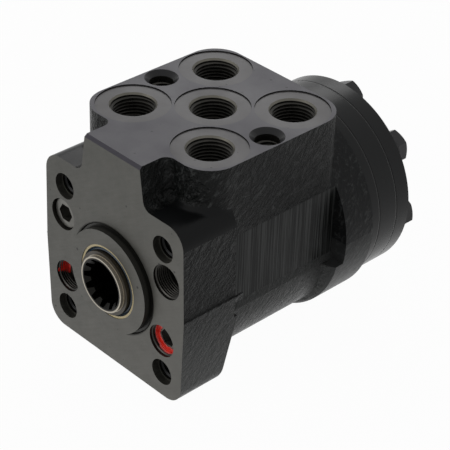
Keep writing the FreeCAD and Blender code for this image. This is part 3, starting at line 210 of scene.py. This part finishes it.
def cast_paint(name, dark, light, grain_mm, rough_low, rough_high):
    """Gloss paint over cast iron, with painted glints on the crests of its grain, and painted light towards
    the bottom and just below the parting line.
    """
    shader = Shader(name, Specular_IOR_Level=0.1)
    coarse = shader.noise(500.0, 3.0, 0.6, 0.3, stretch=GRAIN_STRETCH, turn=GRAIN_TURN)
    fine = shader.noise(1900.0, 2.0, 0.6, stretch=GRAIN_STRETCH, turn=GRAIN_TURN)
    patches = shader.noise(38.0, 2.0)
    height = shader.math("ADD", coarse, shader.math("MULTIPLY", fine, 0.4))
    # Painted glints: the crests of the grain are painted lighter.
    painted_glints = shader.span(height, 0.74, 1.0, 0.0, 0.65)
    clean = shader.mix(shader.span(patches, 0.35, 0.7), dark, light)
    up = shader.axes()[2]
    # Painted light: the casting is lighter just below the parting line, and lighter still towards the bottom.
    painted_light_below_line = shader.span(up, 0.4 * MM, 1.0 * MM, 0.1, 0.0)
    fade = shader.math("ADD", painted_light_below_line, shader.span(up, CAST_BOTTOM, 0.0, 0.55, 0.0))
    with_painted_light = shader.mix(fade, clean, FADE_COLOUR)
    return shader.finish(
        shader.mix(painted_glints, with_painted_light, PAINTED_GLINT_COLOUR),
        shader.span(fine, 0.3, 0.7, rough_low, rough_high),
        shader.bump(height, grain_mm),
    )


def smooth_paint(name, dark, light, roughness, peel_mm=0.01, gloss=0.5):
    """Satin or gloss paint on a turned or drawn piece, with a little orange peel and dust."""
    shader = Shader(name, Specular_IOR_Level=gloss)
    peel = shader.noise(900.0, 2.0)
    patches = shader.noise(30.0, 3.0, 0.6)
    return shader.finish(
        shader.mix(shader.span(patches, 0.3, 0.7), dark, light),
        shader.span(patches, 0.3, 0.7, roughness - 0.04, roughness + 0.05),
        shader.bump(peel, peel_mm),
    )


def drum_paint(name, dark, light, roughness, seams):
    """Satin paint on the drum's turned discs, with a bumped groove and painted shade where two of them meet,
    and painted light at the bottom.
    """
    shader = Shader(name, Specular_IOR_Level=0.14)
    patches = shader.noise(30.0, 3.0, 0.6)
    away = 1.0
    for seam in seams:
        from_seam = shader.math("ABSOLUTE", shader.math("SUBTRACT", shader.axes()[1], seam))
        away = shader.math("MINIMUM", from_seam, away)
    groove = shader.span(away, 0.05 * MM, 0.45 * MM)
    clean = shader.mix(shader.span(patches, 0.3, 0.7), dark, light)
    # Painted light: the drum is lightened towards the bottom.
    fade = shader.span(shader.axes()[2], DRUM_BOTTOM, DRUM_FADE_TOP, 0.5, 0.0)
    with_painted_light = shader.mix(fade, clean, FADE_COLOUR)
    return shader.finish(
        # Painted shade: the seams between the discs are near black, as if in a groove.
        shader.mix(groove, (0.003, 0.003, 0.003), with_painted_light),
        shader.span(patches, 0.3, 0.7, roughness - 0.04, roughness + 0.05),
        shader.bump(groove, 0.3),
    )


def port_face_paint(name, dark, light, roughness):
    """Thin satin coat on a milled face, with fine feed marks and a few small dents."""
    shader = Shader(name, Specular_IOR_Level=0.2)
    patches = shader.noise(55.0, 4.0, 0.6)
    feed = shader.noise(2600.0, 1.0, stretch=(0.06, 1.0, 1.0), turn=(0.0, 0.0, math.radians(28.0)))
    dents = shader.nicks(0, 1, 120.0, 0.07)
    height = shader.math("ADD", shader.math("MULTIPLY", feed, 0.25), dents)
    clean = shader.mix(shader.span(patches, 0.3, 0.7), dark, light)
    # The dents are darker than the face around them.
    dent_colour = tuple(value * 0.3 for value in dark)
    return shader.finish(
        shader.mix(dents, dent_colour, clean),
        shader.span(patches, 0.35, 0.7, roughness - 0.05, roughness + 0.06),
        shader.bump(height, 0.02),
    )


def bare_iron(name, dark, light):
    """Milled grey iron, with painted shade towards its upper left and painted light towards its lower right,
    scratches and small nicks.
    """
    shader = Shader(name, metallic=0.55)
    across, _, up = shader.axes()
    # Painted light and shade: darker towards the upper left, lighter towards the lower right.
    painted_light_ramp = shader.span(shader.math("SUBTRACT", across, up), -0.07, 0.03)
    blotches = shader.noise(110.0, 6.0, 0.7)
    scratches = shader.noise(900.0, 3.0, 0.6, stretch=(0.10, 1.0, 1.0), turn=(0.0, math.radians(32.0), 0.0))
    speckle = shader.noise(2400.0, 2.0)
    marks = shader.nicks(0, 2, 110.0, 0.06)
    tone = shader.math("ADD", shader.math("MULTIPLY", blotches, 0.6), shader.math("MULTIPLY", speckle, 0.4))
    tone = shader.math("ADD", shader.span(tone, 0.36, 0.64, 0.0, 0.5), shader.math("MULTIPLY", painted_light_ramp, 0.5))
    clean = shader.mix(tone, dark, light)
    pit = tuple(value * 0.35 for value in dark)
    half_speckle = shader.math("MULTIPLY", speckle, 0.5)
    height = shader.math("ADD", shader.math("MULTIPLY", scratches, 0.5), half_speckle)
    return shader.finish(
        shader.mix(marks, pit, clean),
        shader.span(scratches, 0.3, 0.7, 0.36, 0.5),
        shader.bump(height, 0.018),
    )


def ringed_iron(name, dark, light, roughness, metallic=0.6):
    """Iron turned round the shaft axis, dark with oil in its marks."""
    shader = Shader(name, metallic=metallic)
    rings = shader.rings(1500.0)
    return shader.finish(
        shader.mix(shader.span(rings, 0.4, 0.6), dark, light),
        shader.span(rings, 0.35, 0.65, roughness - 0.05, roughness + 0.08),
        shader.bump(rings, 0.12),
    )


PAD_TOP = 26.5 * MM


def brushed_pad(name, dark, light):
    """Black paint over the upright cutter marks of the side pads, with a painted shadow along their top edge
    under the step.
    """
    shader = Shader(name, Specular_IOR_Level=0.1)
    streaks = shader.noise(1300.0, 3.0, 0.65, stretch=(1.0, 1.0, 0.015))
    wide = shader.noise(300.0, 2.0, 0.5, stretch=(1.0, 1.0, 0.03))
    tone = shader.math("ADD", shader.math("MULTIPLY", streaks, 0.65), shader.math("MULTIPLY", wide, 0.35))
    # Painted shadow: a near-black strip along the pad's top edge, under the step.
    corner = shader.span(shader.axes()[2], PAD_TOP - 1.1 * MM, PAD_TOP - 0.5 * MM)
    milled = shader.mix(shader.span(tone, 0.47, 0.58), dark, light)
    return shader.finish(
        shader.mix(corner, milled, (0.002, 0.002, 0.002)),
        shader.span(tone, 0.4, 0.6, 0.3, 0.42),
        shader.bump(tone, 0.12),
    )


def turned_steel(name, dark, light, roughness, metallic=0.9):
    """Turned or ground steel, with fine lines round the shaft."""
    shader = Shader(name, metallic=metallic)
    rings = shader.noise(3000.0, 2.0, stretch=(0.04, 1.0, 0.04))
    patches = shader.noise(120.0, 3.0)
    return shader.finish(
        shader.mix(shader.span(patches, 0.3, 0.7), dark, light),
        shader.span(rings, 0.35, 0.65, roughness - 0.07, roughness + 0.08),
        shader.bump(rings, 0.006),
    )


RIM_INSIDE = 11.35 * MM
RIM_OUTSIDE = 12.1 * MM


def shaft_steel(name):
    """Ground neck under a brown film of oil, with a bright rim round splines that are near black as painted
    shade inside the bore.
    """
    shader = Shader(name, metallic=0.85)
    reach = shader.reach()
    rings = shader.rings(2400.0, 2.0)
    patches = shader.noise(120.0, 3.0)
    neck = shader.mix(shader.span(patches, 0.3, 0.7), (0.045, 0.041, 0.035), (0.075, 0.069, 0.06))
    on_rim = shader.span(reach, RIM_OUTSIDE, RIM_OUTSIDE + 0.2 * MM, 1.0, 0.0)
    outside = shader.mix(on_rim, neck, (0.42, 0.385, 0.32))
    # Painted shade: inside the bore the splines are near black.
    bore_painted_shade = shader.span(reach, RIM_INSIDE - 0.1 * MM, RIM_INSIDE + 0.1 * MM, 1.0, 0.0)
    return shader.finish(
        shader.mix(bore_painted_shade, outside, (0.004, 0.0038, 0.003)),
        shader.span(rings, 0.35, 0.65, 0.26, 0.38),
        shader.bump(rings, 0.003),
    )


def soft_material(name, dark, light, roughness):
    """Rubber or plastic with a faint grain."""
    shader = Shader(name)
    grain = shader.noise(1500.0, 2.0)
    return shader.finish(
        shader.mix(shader.span(grain, 0.3, 0.7), dark, light),
        shader.span(grain, 0.3, 0.7, roughness - 0.06, roughness + 0.06),
        shader.bump(grain, 0.01),
    )


def sealing_paint(name):
    """Bright red marking paint, brushed on thick."""
    shader = Shader(name, Coat_Weight=0.4, Coat_Roughness=0.2)
    strokes = shader.noise(420.0, 2.0)
    return shader.finish(
        shader.mix(shader.span(strokes, 0.3, 0.7), (0.62, 0.014, 0.006), (0.86, 0.03, 0.014)),
        shader.span(strokes, 0.3, 0.7, 0.28, 0.42),
        shader.bump(strokes, 0.05),
    )


DRUM_SEAMS = (
    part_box("distribution_plate")[0].y,
    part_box("distribution_plate")[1].y,
    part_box("gear_ring")[1].y,
)
NODE_MATERIALS = {
    "drum_black": drum_paint(
        "drum_paint", (0.0105, 0.0115, 0.0115), (0.014, 0.0145, 0.015), 0.26, DRUM_SEAMS
    ),
    "screw_black": smooth_paint(
        "screw_paint", (0.010, 0.010, 0.011), (0.016, 0.016, 0.017), 0.34, 0.03, 0.25
    ),
    "washer_black": smooth_paint(
        "washer_paint", (0.012, 0.012, 0.013), (0.02, 0.02, 0.021), 0.4, 0.02, 0.25
    ),
    "plug_steel": turned_steel("plug_steel", (0.10, 0.098, 0.09), (0.2, 0.195, 0.18), 0.36),
    "shaft_steel": shaft_steel("shaft_steel"),
    "ground_steel": turned_steel("ground_steel", (0.5, 0.49, 0.47), (0.6, 0.59, 0.57), 0.24),
    "spring_steel": turned_steel("spring_steel", (0.3, 0.3, 0.3), (0.4, 0.4, 0.4), 0.32),
    "seal_rubber": soft_material("seal_rubber", (0.012, 0.012, 0.012), (0.02, 0.02, 0.02), 0.5),
    "seal_ring": soft_material("seal_ring", (0.08, 0.075, 0.07), (0.13, 0.12, 0.11), 0.45),
}
HOUSING_MATERIALS = {
    "cast": cast_paint("cast_paint", (0.0042, 0.0048, 0.0046), (0.0065, 0.0072, 0.0069), 1.0, 0.24, 0.36),
    "port_face": port_face_paint("port_face_paint", (0.048, 0.045, 0.056), (0.064, 0.06, 0.074), 0.4),
    "spot_face": port_face_paint("spot_face_paint", (0.064, 0.059, 0.061), (0.08, 0.075, 0.077), 0.38),
    "mouth": turned_steel("port_mouth_iron", (0.10, 0.095, 0.08), (0.14, 0.132, 0.11), 0.42, 0.6),
    "front": bare_iron("front_face_iron", (0.055, 0.055, 0.048), (0.108, 0.105, 0.094)),
    "boss_side": ringed_iron("boss_side_iron", (0.012, 0.012, 0.01), (0.04, 0.039, 0.034), 0.38),
    "entry": turned_steel("hole_entry_iron", (0.045, 0.044, 0.038), (0.09, 0.088, 0.076), 0.4, 0.6),
    "cone": smooth_paint("countersink_paint", (0.014, 0.014, 0.015), (0.02, 0.02, 0.0215), 0.26, 0.01, 0.2),
    # The bores are dark iron, darkened further as painted shade inside the holes.
    "bore": turned_steel("bore_iron", (0.018, 0.017, 0.014), (0.036, 0.034, 0.03), 0.34, 0.7),
    "pad": brushed_pad("pad_paint", (0.003, 0.0036, 0.0034), (0.06, 0.062, 0.061)),
    "shoulder": smooth_paint(
        "shoulder_paint", (0.0055, 0.006, 0.0062), (0.008, 0.0085, 0.009), 0.3, 0.02, 0.1
    ),
    "rear_flange": cast_paint(
        "rear_flange_paint", (0.007, 0.0075, 0.0078), (0.010, 0.0105, 0.011), 0.25, 0.3, 0.42
    ),
}
SEAL_MATERIALS = {
    "outer": soft_material("seal_shell", (0.46, 0.38, 0.20), (0.62, 0.52, 0.30), 0.42),
    "lip": soft_material("seal_lip", (0.004, 0.016, 0.03), (0.007, 0.026, 0.046), 0.3),
}


# Places, read from the frame

def mount(name):
    return next(item for item in frame["record"]["mounts"] if item["name"] == name)


PORT_NAMES = ("port_pressure", "port_tank", "port_left", "port_right", "port_load_sensing")
PORTS = {name: mount(name) for name in PORT_NAMES}
PORT_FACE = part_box("housing")[1].z
PORT_RADIUS = PORTS["port_tank"]["dims"]["r_mm"] * MM
BOLTS = mount("column_bolts")
BLOCK_SCREWS = mount("block_screws")
BOSS_RADIUS = mount("column_pilot")["dims"]["r_mm"] * MM
PLUGS = ("relief_plug", "shock_left_plug", "shock_right_plug", "gallery_plug")


def middle_of(node):
    low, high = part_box(node)
    return (low + high) / 2.0


def radius_of(node):
    low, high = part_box(node)
    return (high.x - low.x) / 2.0


def paint_node(node, materials, choose=None):
    """Give a CAD node its materials. choose turns the faces' centres and normals into material numbers."""
    mesh = frame["nodes"][node].data
    mesh.materials.clear()
    for material in materials:
        mesh.materials.append(material)
    count = len(mesh.polygons)
    numbers = np.zeros(count, np.int32)
    if choose is not None:
        centres = np.zeros(count * 3)
        normals = np.zeros(count * 3)
        mesh.polygons.foreach_get("center", centres)
        mesh.polygons.foreach_get("normal", normals)
        numbers = choose(centres.reshape(-1, 3), normals.reshape(-1, 3)).astype(np.int32)
    mesh.polygons.foreach_set("material_index", numbers)
    mesh.update()


HOUSING_ORDER = list(HOUSING_MATERIALS)
NEAR = 0.06 * MM
FLAT = 0.99

# Where the zones of the housing end
REAR_FLANGE_LENGTH = 21.2 * MM
REAR_FLANGE_TOP = 46 * MM
WAIST_REACH = 40 * MM
PAD_HALF_WIDTH = 37.0 * MM
SHOULDER_LENGTH = 27.5 * MM
SHOULDER_LOW, SHOULDER_HIGH = 33.2 * MM, 43 * MM
NECK_HALF_WIDTH = 22 * MM
PORT_EDGE = 1.3 * MM
BLOCK_END = 100 * MM
SPOT_DEPTH = 0.5 * MM
GROOVE_WIDTH = 2.1 * MM
GROOVE_DEPTH = 1.05 * MM
SEAL_SEAT_RADIUS = 22.2 * MM
SEAL_SEAT_FRONT = -2.95 * MM
BORES_ABOVE = 40 * MM
MOUTH_WIDTH = 0.7 * MM
CONE_RADIUS = 7.05 * MM
SCREW_BORE_RADIUS = 5.05 * MM
CONE_DEPTH = 4 * MM
COLUMN_BORE_RADIUS = 5.7 * MM
COLUMN_BORE_DEPTH = 19 * MM
COLUMN_ENTRY_RADIUS = 5.8 * MM
VALVE_BORE_ROOM = 0.1 * MM
VALVE_BORE_DEPTH = 47 * MM
OUTER_SIDE_FROM = 26 * MM
OUTER_SIDE_REACH = 36.5 * MM


def housing_zones(centres, normals):
    """The machined and cast zones of the housing."""
    x, y, z = centres.T
    shaft = np.hypot(x, z)
    zone = np.full(len(centres), HOUSING_ORDER.index("cast"))

    def put(name, where):
        zone[where] = HOUSING_ORDER.index(name)

    behind_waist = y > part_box("housing")[1].y - REAR_FLANGE_LENGTH
    put("rear_flange", behind_waist & (z < REAR_FLANGE_TOP) & (shaft > WAIST_REACH))
    put("pad", (np.abs(np.abs(x) - PAD_HALF_WIDTH) < NEAR) & (np.abs(normals[:, 0]) > FLAT))
    at_neck = (z > SHOULDER_LOW) & (z < SHOULDER_HIGH) & (np.abs(x) > NECK_HALF_WIDTH)
    put("shoulder", (y < SHOULDER_LENGTH) & at_neck)
    put("port_face", (normals[:, 2] > 0.5) & (z > PORT_FACE - PORT_EDGE) & (y < BLOCK_END))
    put("spot_face", (normals[:, 2] > FLAT) & (np.abs(z - PORT_FACE + SPOT_DEPTH) < NEAR))
    put("front", (normals[:, 1] < -FLAT) & (y < NEAR))
    groove = (shaft > BOSS_RADIUS - NEAR) & (shaft < BOSS_RADIUS + GROOVE_WIDTH) & (y < GROOVE_DEPTH)
    put("boss_side", groove & ~((normals[:, 1] < -FLAT) & (np.abs(y) < NEAR)))
    put("bore", (shaft < SEAL_SEAT_RADIUS) & (y > SEAL_SEAT_FRONT))
    for port in PORTS.values():
        away = np.hypot(x - port["pos_m"][0], y - port["pos_m"][1])
        inside = (away < PORT_RADIUS + MOUTH_WIDTH) & (z > BORES_ABOVE)
        put("bore", inside & (away < PORT_RADIUS + NEAR))
        put("mouth", inside & (z > port["pos_m"][2]) & (z < PORT_FACE - 0.51 * MM))
    half = BLOCK_SCREWS["dims"]["spacing_x_mm"] / 2.0 * MM
    for side in (-1, 1):
        away = np.hypot(x - side * half, y - BLOCK_SCREWS["pos_m"][1])
        put("cone", (away < CONE_RADIUS) & (z < PORT_FACE - 0.02 * MM) & (z > BORES_ABOVE))
        put("bore", (away < SCREW_BORE_RADIUS) & (z > BORES_ABOVE) & (z < PORT_FACE - CONE_DEPTH))
    square = BOLTS["dims"]["spacing_x_mm"] / 2.0 * MM
    corners = [(a * square, b * square) for a in (-1, 1) for b in (-1, 1)]
    holes = [(*corner, COLUMN_BORE_RADIUS, COLUMN_BORE_DEPTH) for corner in corners]
    for plug in PLUGS:
        middle = middle_of(plug)
        holes.append((middle.x, middle.z, radius_of(plug) + VALVE_BORE_ROOM, VALVE_BORE_DEPTH))
    outer_side = (y > OUTER_SIDE_FROM) & (np.abs(x) > OUTER_SIDE_REACH)
    for across, up, radius, depth in holes:
        away = np.hypot(x - across, z - up)
        put("bore", (away < radius) & (y > NEAR) & (y < depth) & ~outer_side)
    for across, up in corners:
        away = np.hypot(x - across, z - up)
        put("entry", (away < COLUMN_ENTRY_RADIUS) & (y > NEAR) & (y < BOLTS["pos_m"][1] + NEAR))
    return zone


def paint_cad():
    slots = {part["node"]: part["material_slot"] for part in frame["record"]["subparts"]}
    for node, slot in slots.items():
        if slot in NODE_MATERIALS:
            paint_node(node, [NODE_MATERIALS[slot]])
    paint_node("housing", list(HOUSING_MATERIALS.values()), housing_zones)
    paint_node("dust_seal", list(SEAL_MATERIALS.values()), lambda centres, normals: normals[:, 1] > -FLAT)


# Pieces that the solids leave out: threads, the parting ridge, sealing paint and copies of the springs

def new_piece(name, mesh_maker, material, body):
    mesh = bpy.data.meshes.new(name)
    work = bmesh.new()
    mesh_maker(work)
    bmesh.ops.recalc_face_normals(work, faces=work.faces)
    work.to_mesh(mesh)
    work.free()
    mesh.materials.append(material)
    piece = bpy.data.objects.new(name, mesh)
    bpy.context.scene.collection.objects.link(piece)
    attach(piece, body)
    return piece


def swept_rings(work, rings, closed=False):
    """Join rings of points into a tube, with caps at its ends unless it closes on itself."""
    rows = [[work.verts.new(point) for point in ring] for ring in rings]
    count = len(rows[0])
    pairs = list(zip(rows, rows[1:]))
    if closed:
        pairs.append((rows[-1], rows[0]))
    for here, there in pairs:
        for index in range(count):
            after = (index + 1) % count
            work.faces.new((here[index], here[after], there[after], there[index]))
    if not closed:
        work.faces.new(rows[0])
        work.faces.new(rows[-1][::-1])


def frame_on(axis):
    """Two directions square to an axis."""
    axis = Vector(axis).normalized()
    across = Vector((1.0, 0.0, 0.0))
    return axis, across, axis.cross(across)


THREAD_STEPS = 40
SHALLOW_PLUG = 3.0 * MM


def thread(name, mouth, axis, radius, pitch, length, material):
    """A helical ridge on the wall of a tapped hole, from its mouth inwards."""
    out, across, up = frame_on(axis)
    root, crest = radius + 0.04 * MM, radius - 0.52 * pitch
    shape = ((root, 0.44), (crest, 0.1), (crest, -0.1), (root, -0.44))

    def make(work):
        turns = length / pitch - 1.0
        steps = int(turns * THREAD_STEPS)
        rings = []
        for step in range(steps + 1):
            angle = 2.0 * math.pi * step / THREAD_STEPS
            depth = (0.5 + step / THREAD_STEPS) * pitch
            fade = min(1.0, step / THREAD_STEPS * 2.0, (steps - step) / THREAD_STEPS * 2.0)
            outward = across * math.cos(angle) + up * math.sin(angle)
            ring = []
            for reach, shift in shape:
                reach = root + (reach - root) * max(fade, 0.05)
                ring.append(Vector(mouth) + outward * reach - out * (depth - shift * pitch * max(fade, 0.05)))
            rings.append(ring)
        swept_rings(work, rings)

    return new_piece(name, make, material, "housing")


def add_threads():
    iron = HOUSING_MATERIALS["bore"]
    # The column bolt threads take the black shoulder paint, as painted shade deep in the holes.
    dark = HOUSING_MATERIALS["shoulder"]
    for name, port in PORTS.items():
        thread(f"{name}_thread", port["pos_m"], port["axis"], PORT_RADIUS, 1.5 * MM,
               port["dims"]["length_mm"] * MM, iron)
    half = BLOCK_SCREWS["dims"]["spacing_x_mm"] / 2.0 * MM
    radius = BLOCK_SCREWS["dims"]["hole_r_mm"] * MM
    for label, side in (("left", -1), ("right", 1)):
        mouth = Vector(BLOCK_SCREWS["pos_m"]) + Vector((side * half, 0.0, -2.0 * MM))
        thread(f"block_screw_{label}_thread", mouth, BLOCK_SCREWS["axis"], radius, 1.5 * MM, 12.0 * MM, iron)
    square = BOLTS["dims"]["spacing_x_mm"] / 2.0 * MM
    radius = BOLTS["dims"]["hole_r_mm"] * MM
    for label, side, height in (("upper_left", -1, 1), ("upper_right", 1, 1), ("lower_left", -1, -1),
                                ("lower_right", 1, -1)):
        mouth = Vector(BOLTS["pos_m"]) + Vector((side * square, 0.0, height * square))
        thread(f"column_bolt_{label}_thread", mouth, BOLTS["axis"], radius, 1.5 * MM, 14.0 * MM, dark)
    for plug in PLUGS:
        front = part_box(plug)[0].y
        if front < SHALLOW_PLUG:
            continue
        middle = middle_of(plug)
        mouth = Vector((middle.x, 0.4 * MM, middle.z))
        thread(f"{plug}_bore_thread", mouth, (0.0, -1.0, 0.0), radius_of(plug) + 0.04 * MM, 1.0 * MM,
               front - 0.5 * MM, iron)


def live_spring(node, towards_front, material):
    """A copy of a spring's mesh, shown in place of the original."""
    low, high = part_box(node)
    source = bpy.data.objects[node]
    mesh = source.data.copy()
    mesh.transform(source.matrix_world)
    spring = bpy.data.objects.new(f"{node}_live", mesh)
    bpy.context.collection.objects.link(spring)
    mesh.materials.clear()
    mesh.materials.append(material)
    ends = [(0.0, high.y, 0.0), (0.0, low.y, 0.0)]
    if towards_front:
        ends.reverse()
    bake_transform(spring)
    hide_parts(node)


def add_live_springs():
    """Each valve spring is shown as a copy of its mesh."""
    steel = NODE_MATERIALS["spring_steel"]
    for valve in ("relief", "shock_left", "shock_right"):
        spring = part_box(f"{valve}_spring")[1].y
        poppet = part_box(f"{valve}_poppet")[1].y
        live_spring(f"{valve}_spring", spring < poppet, steel)


FLANGE_HALF_WIDTH = 41.3 * MM
FLANGE_LENGTH = 31.0 * MM
RIDGE_POINTS = 32


def add_parting_ridge():
    """The line that the two halves of the mould leave on both sides of the flange."""
    side, rear = FLANGE_HALF_WIDTH, FLANGE_LENGTH
    for label, sign in (("left", -1), ("right", 1)):

        def make(work):
            rings = []
            for step in range(RIDGE_POINTS):
                along = 0.15 * MM + (rear - 0.3 * MM) * step / (RIDGE_POINTS - 1)
                height = (0.8 + 0.12 * math.sin(step * 1.3)) * MM
                crest = side + (0.52 + 0.08 * math.sin(step * 2.1)) * MM
                section = ((side, -2.6 * MM), (crest, 0.2 * MM), (crest, 0.5 * MM), (side, 0.9 * MM))
                rings.append([Vector((sign * across, along, height + up)) for across, up in section])
            swept_rings(work, rings)

        new_piece(f"parting_ridge_{label}", make, HOUSING_MATERIALS["cast"], "housing")


PAINT_STEPS = 72
SEALING_PAINT = sealing_paint("sealing_paint")


def sealing_skin(name, plug, first_deg, last_deg, inner_mm, climb_mm):
    """Paint on the rim of a plug and up the wall of its bore, over part of the way round."""
    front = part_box(plug)[0].y
    middle = middle_of(plug)
    wall = radius_of(plug) + 0.02 * MM

    def make(work):
        rings = []
        for step in range(PAINT_STEPS + 1):
            share = step / PAINT_STEPS
            angle = math.radians(first_deg + (last_deg - first_deg) * share)
            wave = math.sin(5.0 * angle + 0.6) + 0.5 * math.sin(13.0 * angle)
            fade = min(1.0, share * 6.0 + 0.04, (1.0 - share) * 6.0 + 0.04)
            wide = (wall - inner_mm * MM) * (0.94 + 0.05 * wave) * fade
            tall = climb_mm * MM * (1.0 - 0.12 * wave) * fade
            thick = (0.7 - 0.05 * wave) * MM * fade
            out = Vector((math.cos(angle), 0.0, math.sin(angle)))
            face = Vector((middle.x, front, middle.z))
            profile = (
                (0.0, 0.0),
                (0.0, tall + 0.35 * MM),
                (0.25 * thick, tall + 0.3 * MM),
                (0.8 * thick, tall * 0.5 + 0.3 * MM),
                (thick, 0.4 * MM),
                (0.5 * wide + 0.5 * thick, 0.3 * MM),
                (max(wide - 0.2 * MM, thick), 0.26 * MM),
                (max(wide, thick), 0.05 * MM),
            )
            rings.append([
                face + out * (wall - inward) - Vector((0.0, outward, 0.0)) for inward, outward in profile
            ])
        swept_rings(work, rings)

    return new_piece(name, make, SEALING_PAINT, "housing")


def add_sealing_paint():
    sealing_skin("sealing_paint_relief", "relief_plug", 80.0, 215.0, 5.3, 4.4)
    sealing_skin("sealing_paint_left", "shock_left_plug", -20.0, 130.0, 5.7, 0.3)
    sealing_skin("sealing_paint_right", "shock_right_plug", 20.0, 335.0, 4.2, 0.9)


# Floor, lamps and background

FLOOR_SIZE = 6.0
FLOOR_SHADOW = 0.03


def add_floor():
    mesh = bpy.data.meshes.new("floor")
    half = FLOOR_SIZE / 2.0
    corners = [(-half, -half, 0.0), (half, -half, 0.0), (half, half, 0.0), (-half, half, 0.0)]
    mesh.from_pydata(corners, [], [(0, 1, 2, 3)])
    floor = bpy.data.objects.new("floor", mesh)
    floor.location.z = cad_box[0][2]
    bpy.context.scene.collection.objects.link(floor)
    shader = Shader("floor_white", roughness=0.9)
    shader.surface.inputs["Base Color"].default_value = (0.86, 0.86, 0.86, 1.0)
    tree = shader.tree
    path = shader.node("LightPath").outputs
    seen = shader.math("MAXIMUM", path["Is Camera Ray"], path["Is Glossy Ray"])
    seen = shader.math("MAXIMUM", seen, path["Is Transmission Ray"])
    share = shader.math("MULTIPLY", seen, 1.0 - FLOOR_SHADOW)
    glow = shader.node("Emission", {"Color": (1.0, 1.0, 1.0, 1.0), "Strength": 1.0})
    mixed = shader.node("MixShader", {0: share, 1: shader.surface.outputs[0], 2: glow.outputs[0]})
    tree.links.new(mixed.outputs[0], tree.nodes["Material Output"].inputs["Surface"])
    mesh.materials.append(shader.material)


def add_lamp(name, place, target, size, watts):
    data = bpy.data.lights.new(name, "AREA")
    data.shape = "RECTANGLE"
    data.size, data.size_y = size
    data.energy = watts
    lamp = bpy.data.objects.new(name, data)
    direction = Vector(place) - Vector(target)
    lamp.matrix_world = Matrix.Translation(place) @ direction.to_track_quat("Z", "Y").to_matrix().to_4x4()
    bpy.context.scene.collection.objects.link(lamp)


WORLD_LIGHT = 0.3


def light_scene():
    world = bpy.data.worlds.new("studio")
    world.use_nodes = True
    bpy.context.scene.world = world
    tree = world.node_tree
    background = tree.nodes["Background"]
    background.inputs["Color"].default_value = (1.0, 1.0, 1.0, 1.0)
    path = tree.nodes.new("ShaderNodeLightPath")
    seen = path.outputs["Is Camera Ray"]
    for kind in ("Is Glossy Ray", "Is Transmission Ray"):
        either = tree.nodes.new("ShaderNodeMath")
        either.operation = "MAXIMUM"
        tree.links.new(seen, either.inputs[0])
        tree.links.new(path.outputs[kind], either.inputs[1])
        seen = either.outputs[0]
    strength = tree.nodes.new("ShaderNodeMapRange")
    strength.inputs["To Min"].default_value = WORLD_LIGHT
    strength.inputs["To Max"].default_value = 1.0
    tree.links.new(seen, strength.inputs["Value"])
    tree.links.new(strength.outputs[0], background.inputs["Strength"])
    target = (0.0, 0.05, 0.0)
    add_lamp("back_softbox", (-0.6, 0.70, 0.62), target, (0.5, 0.38), 1.75)
    add_lamp("front_softbox", (-0.35, -0.95, 0.3), target, (0.7, 0.5), 3.0)


def main():
    set_camera()
    paint_cad()
    add_threads()
    add_parting_ridge()
    add_sealing_paint()
    add_live_springs()
    add_floor()
    light_scene()
    bpy.context.scene.view_settings.view_transform = "Standard"


main()
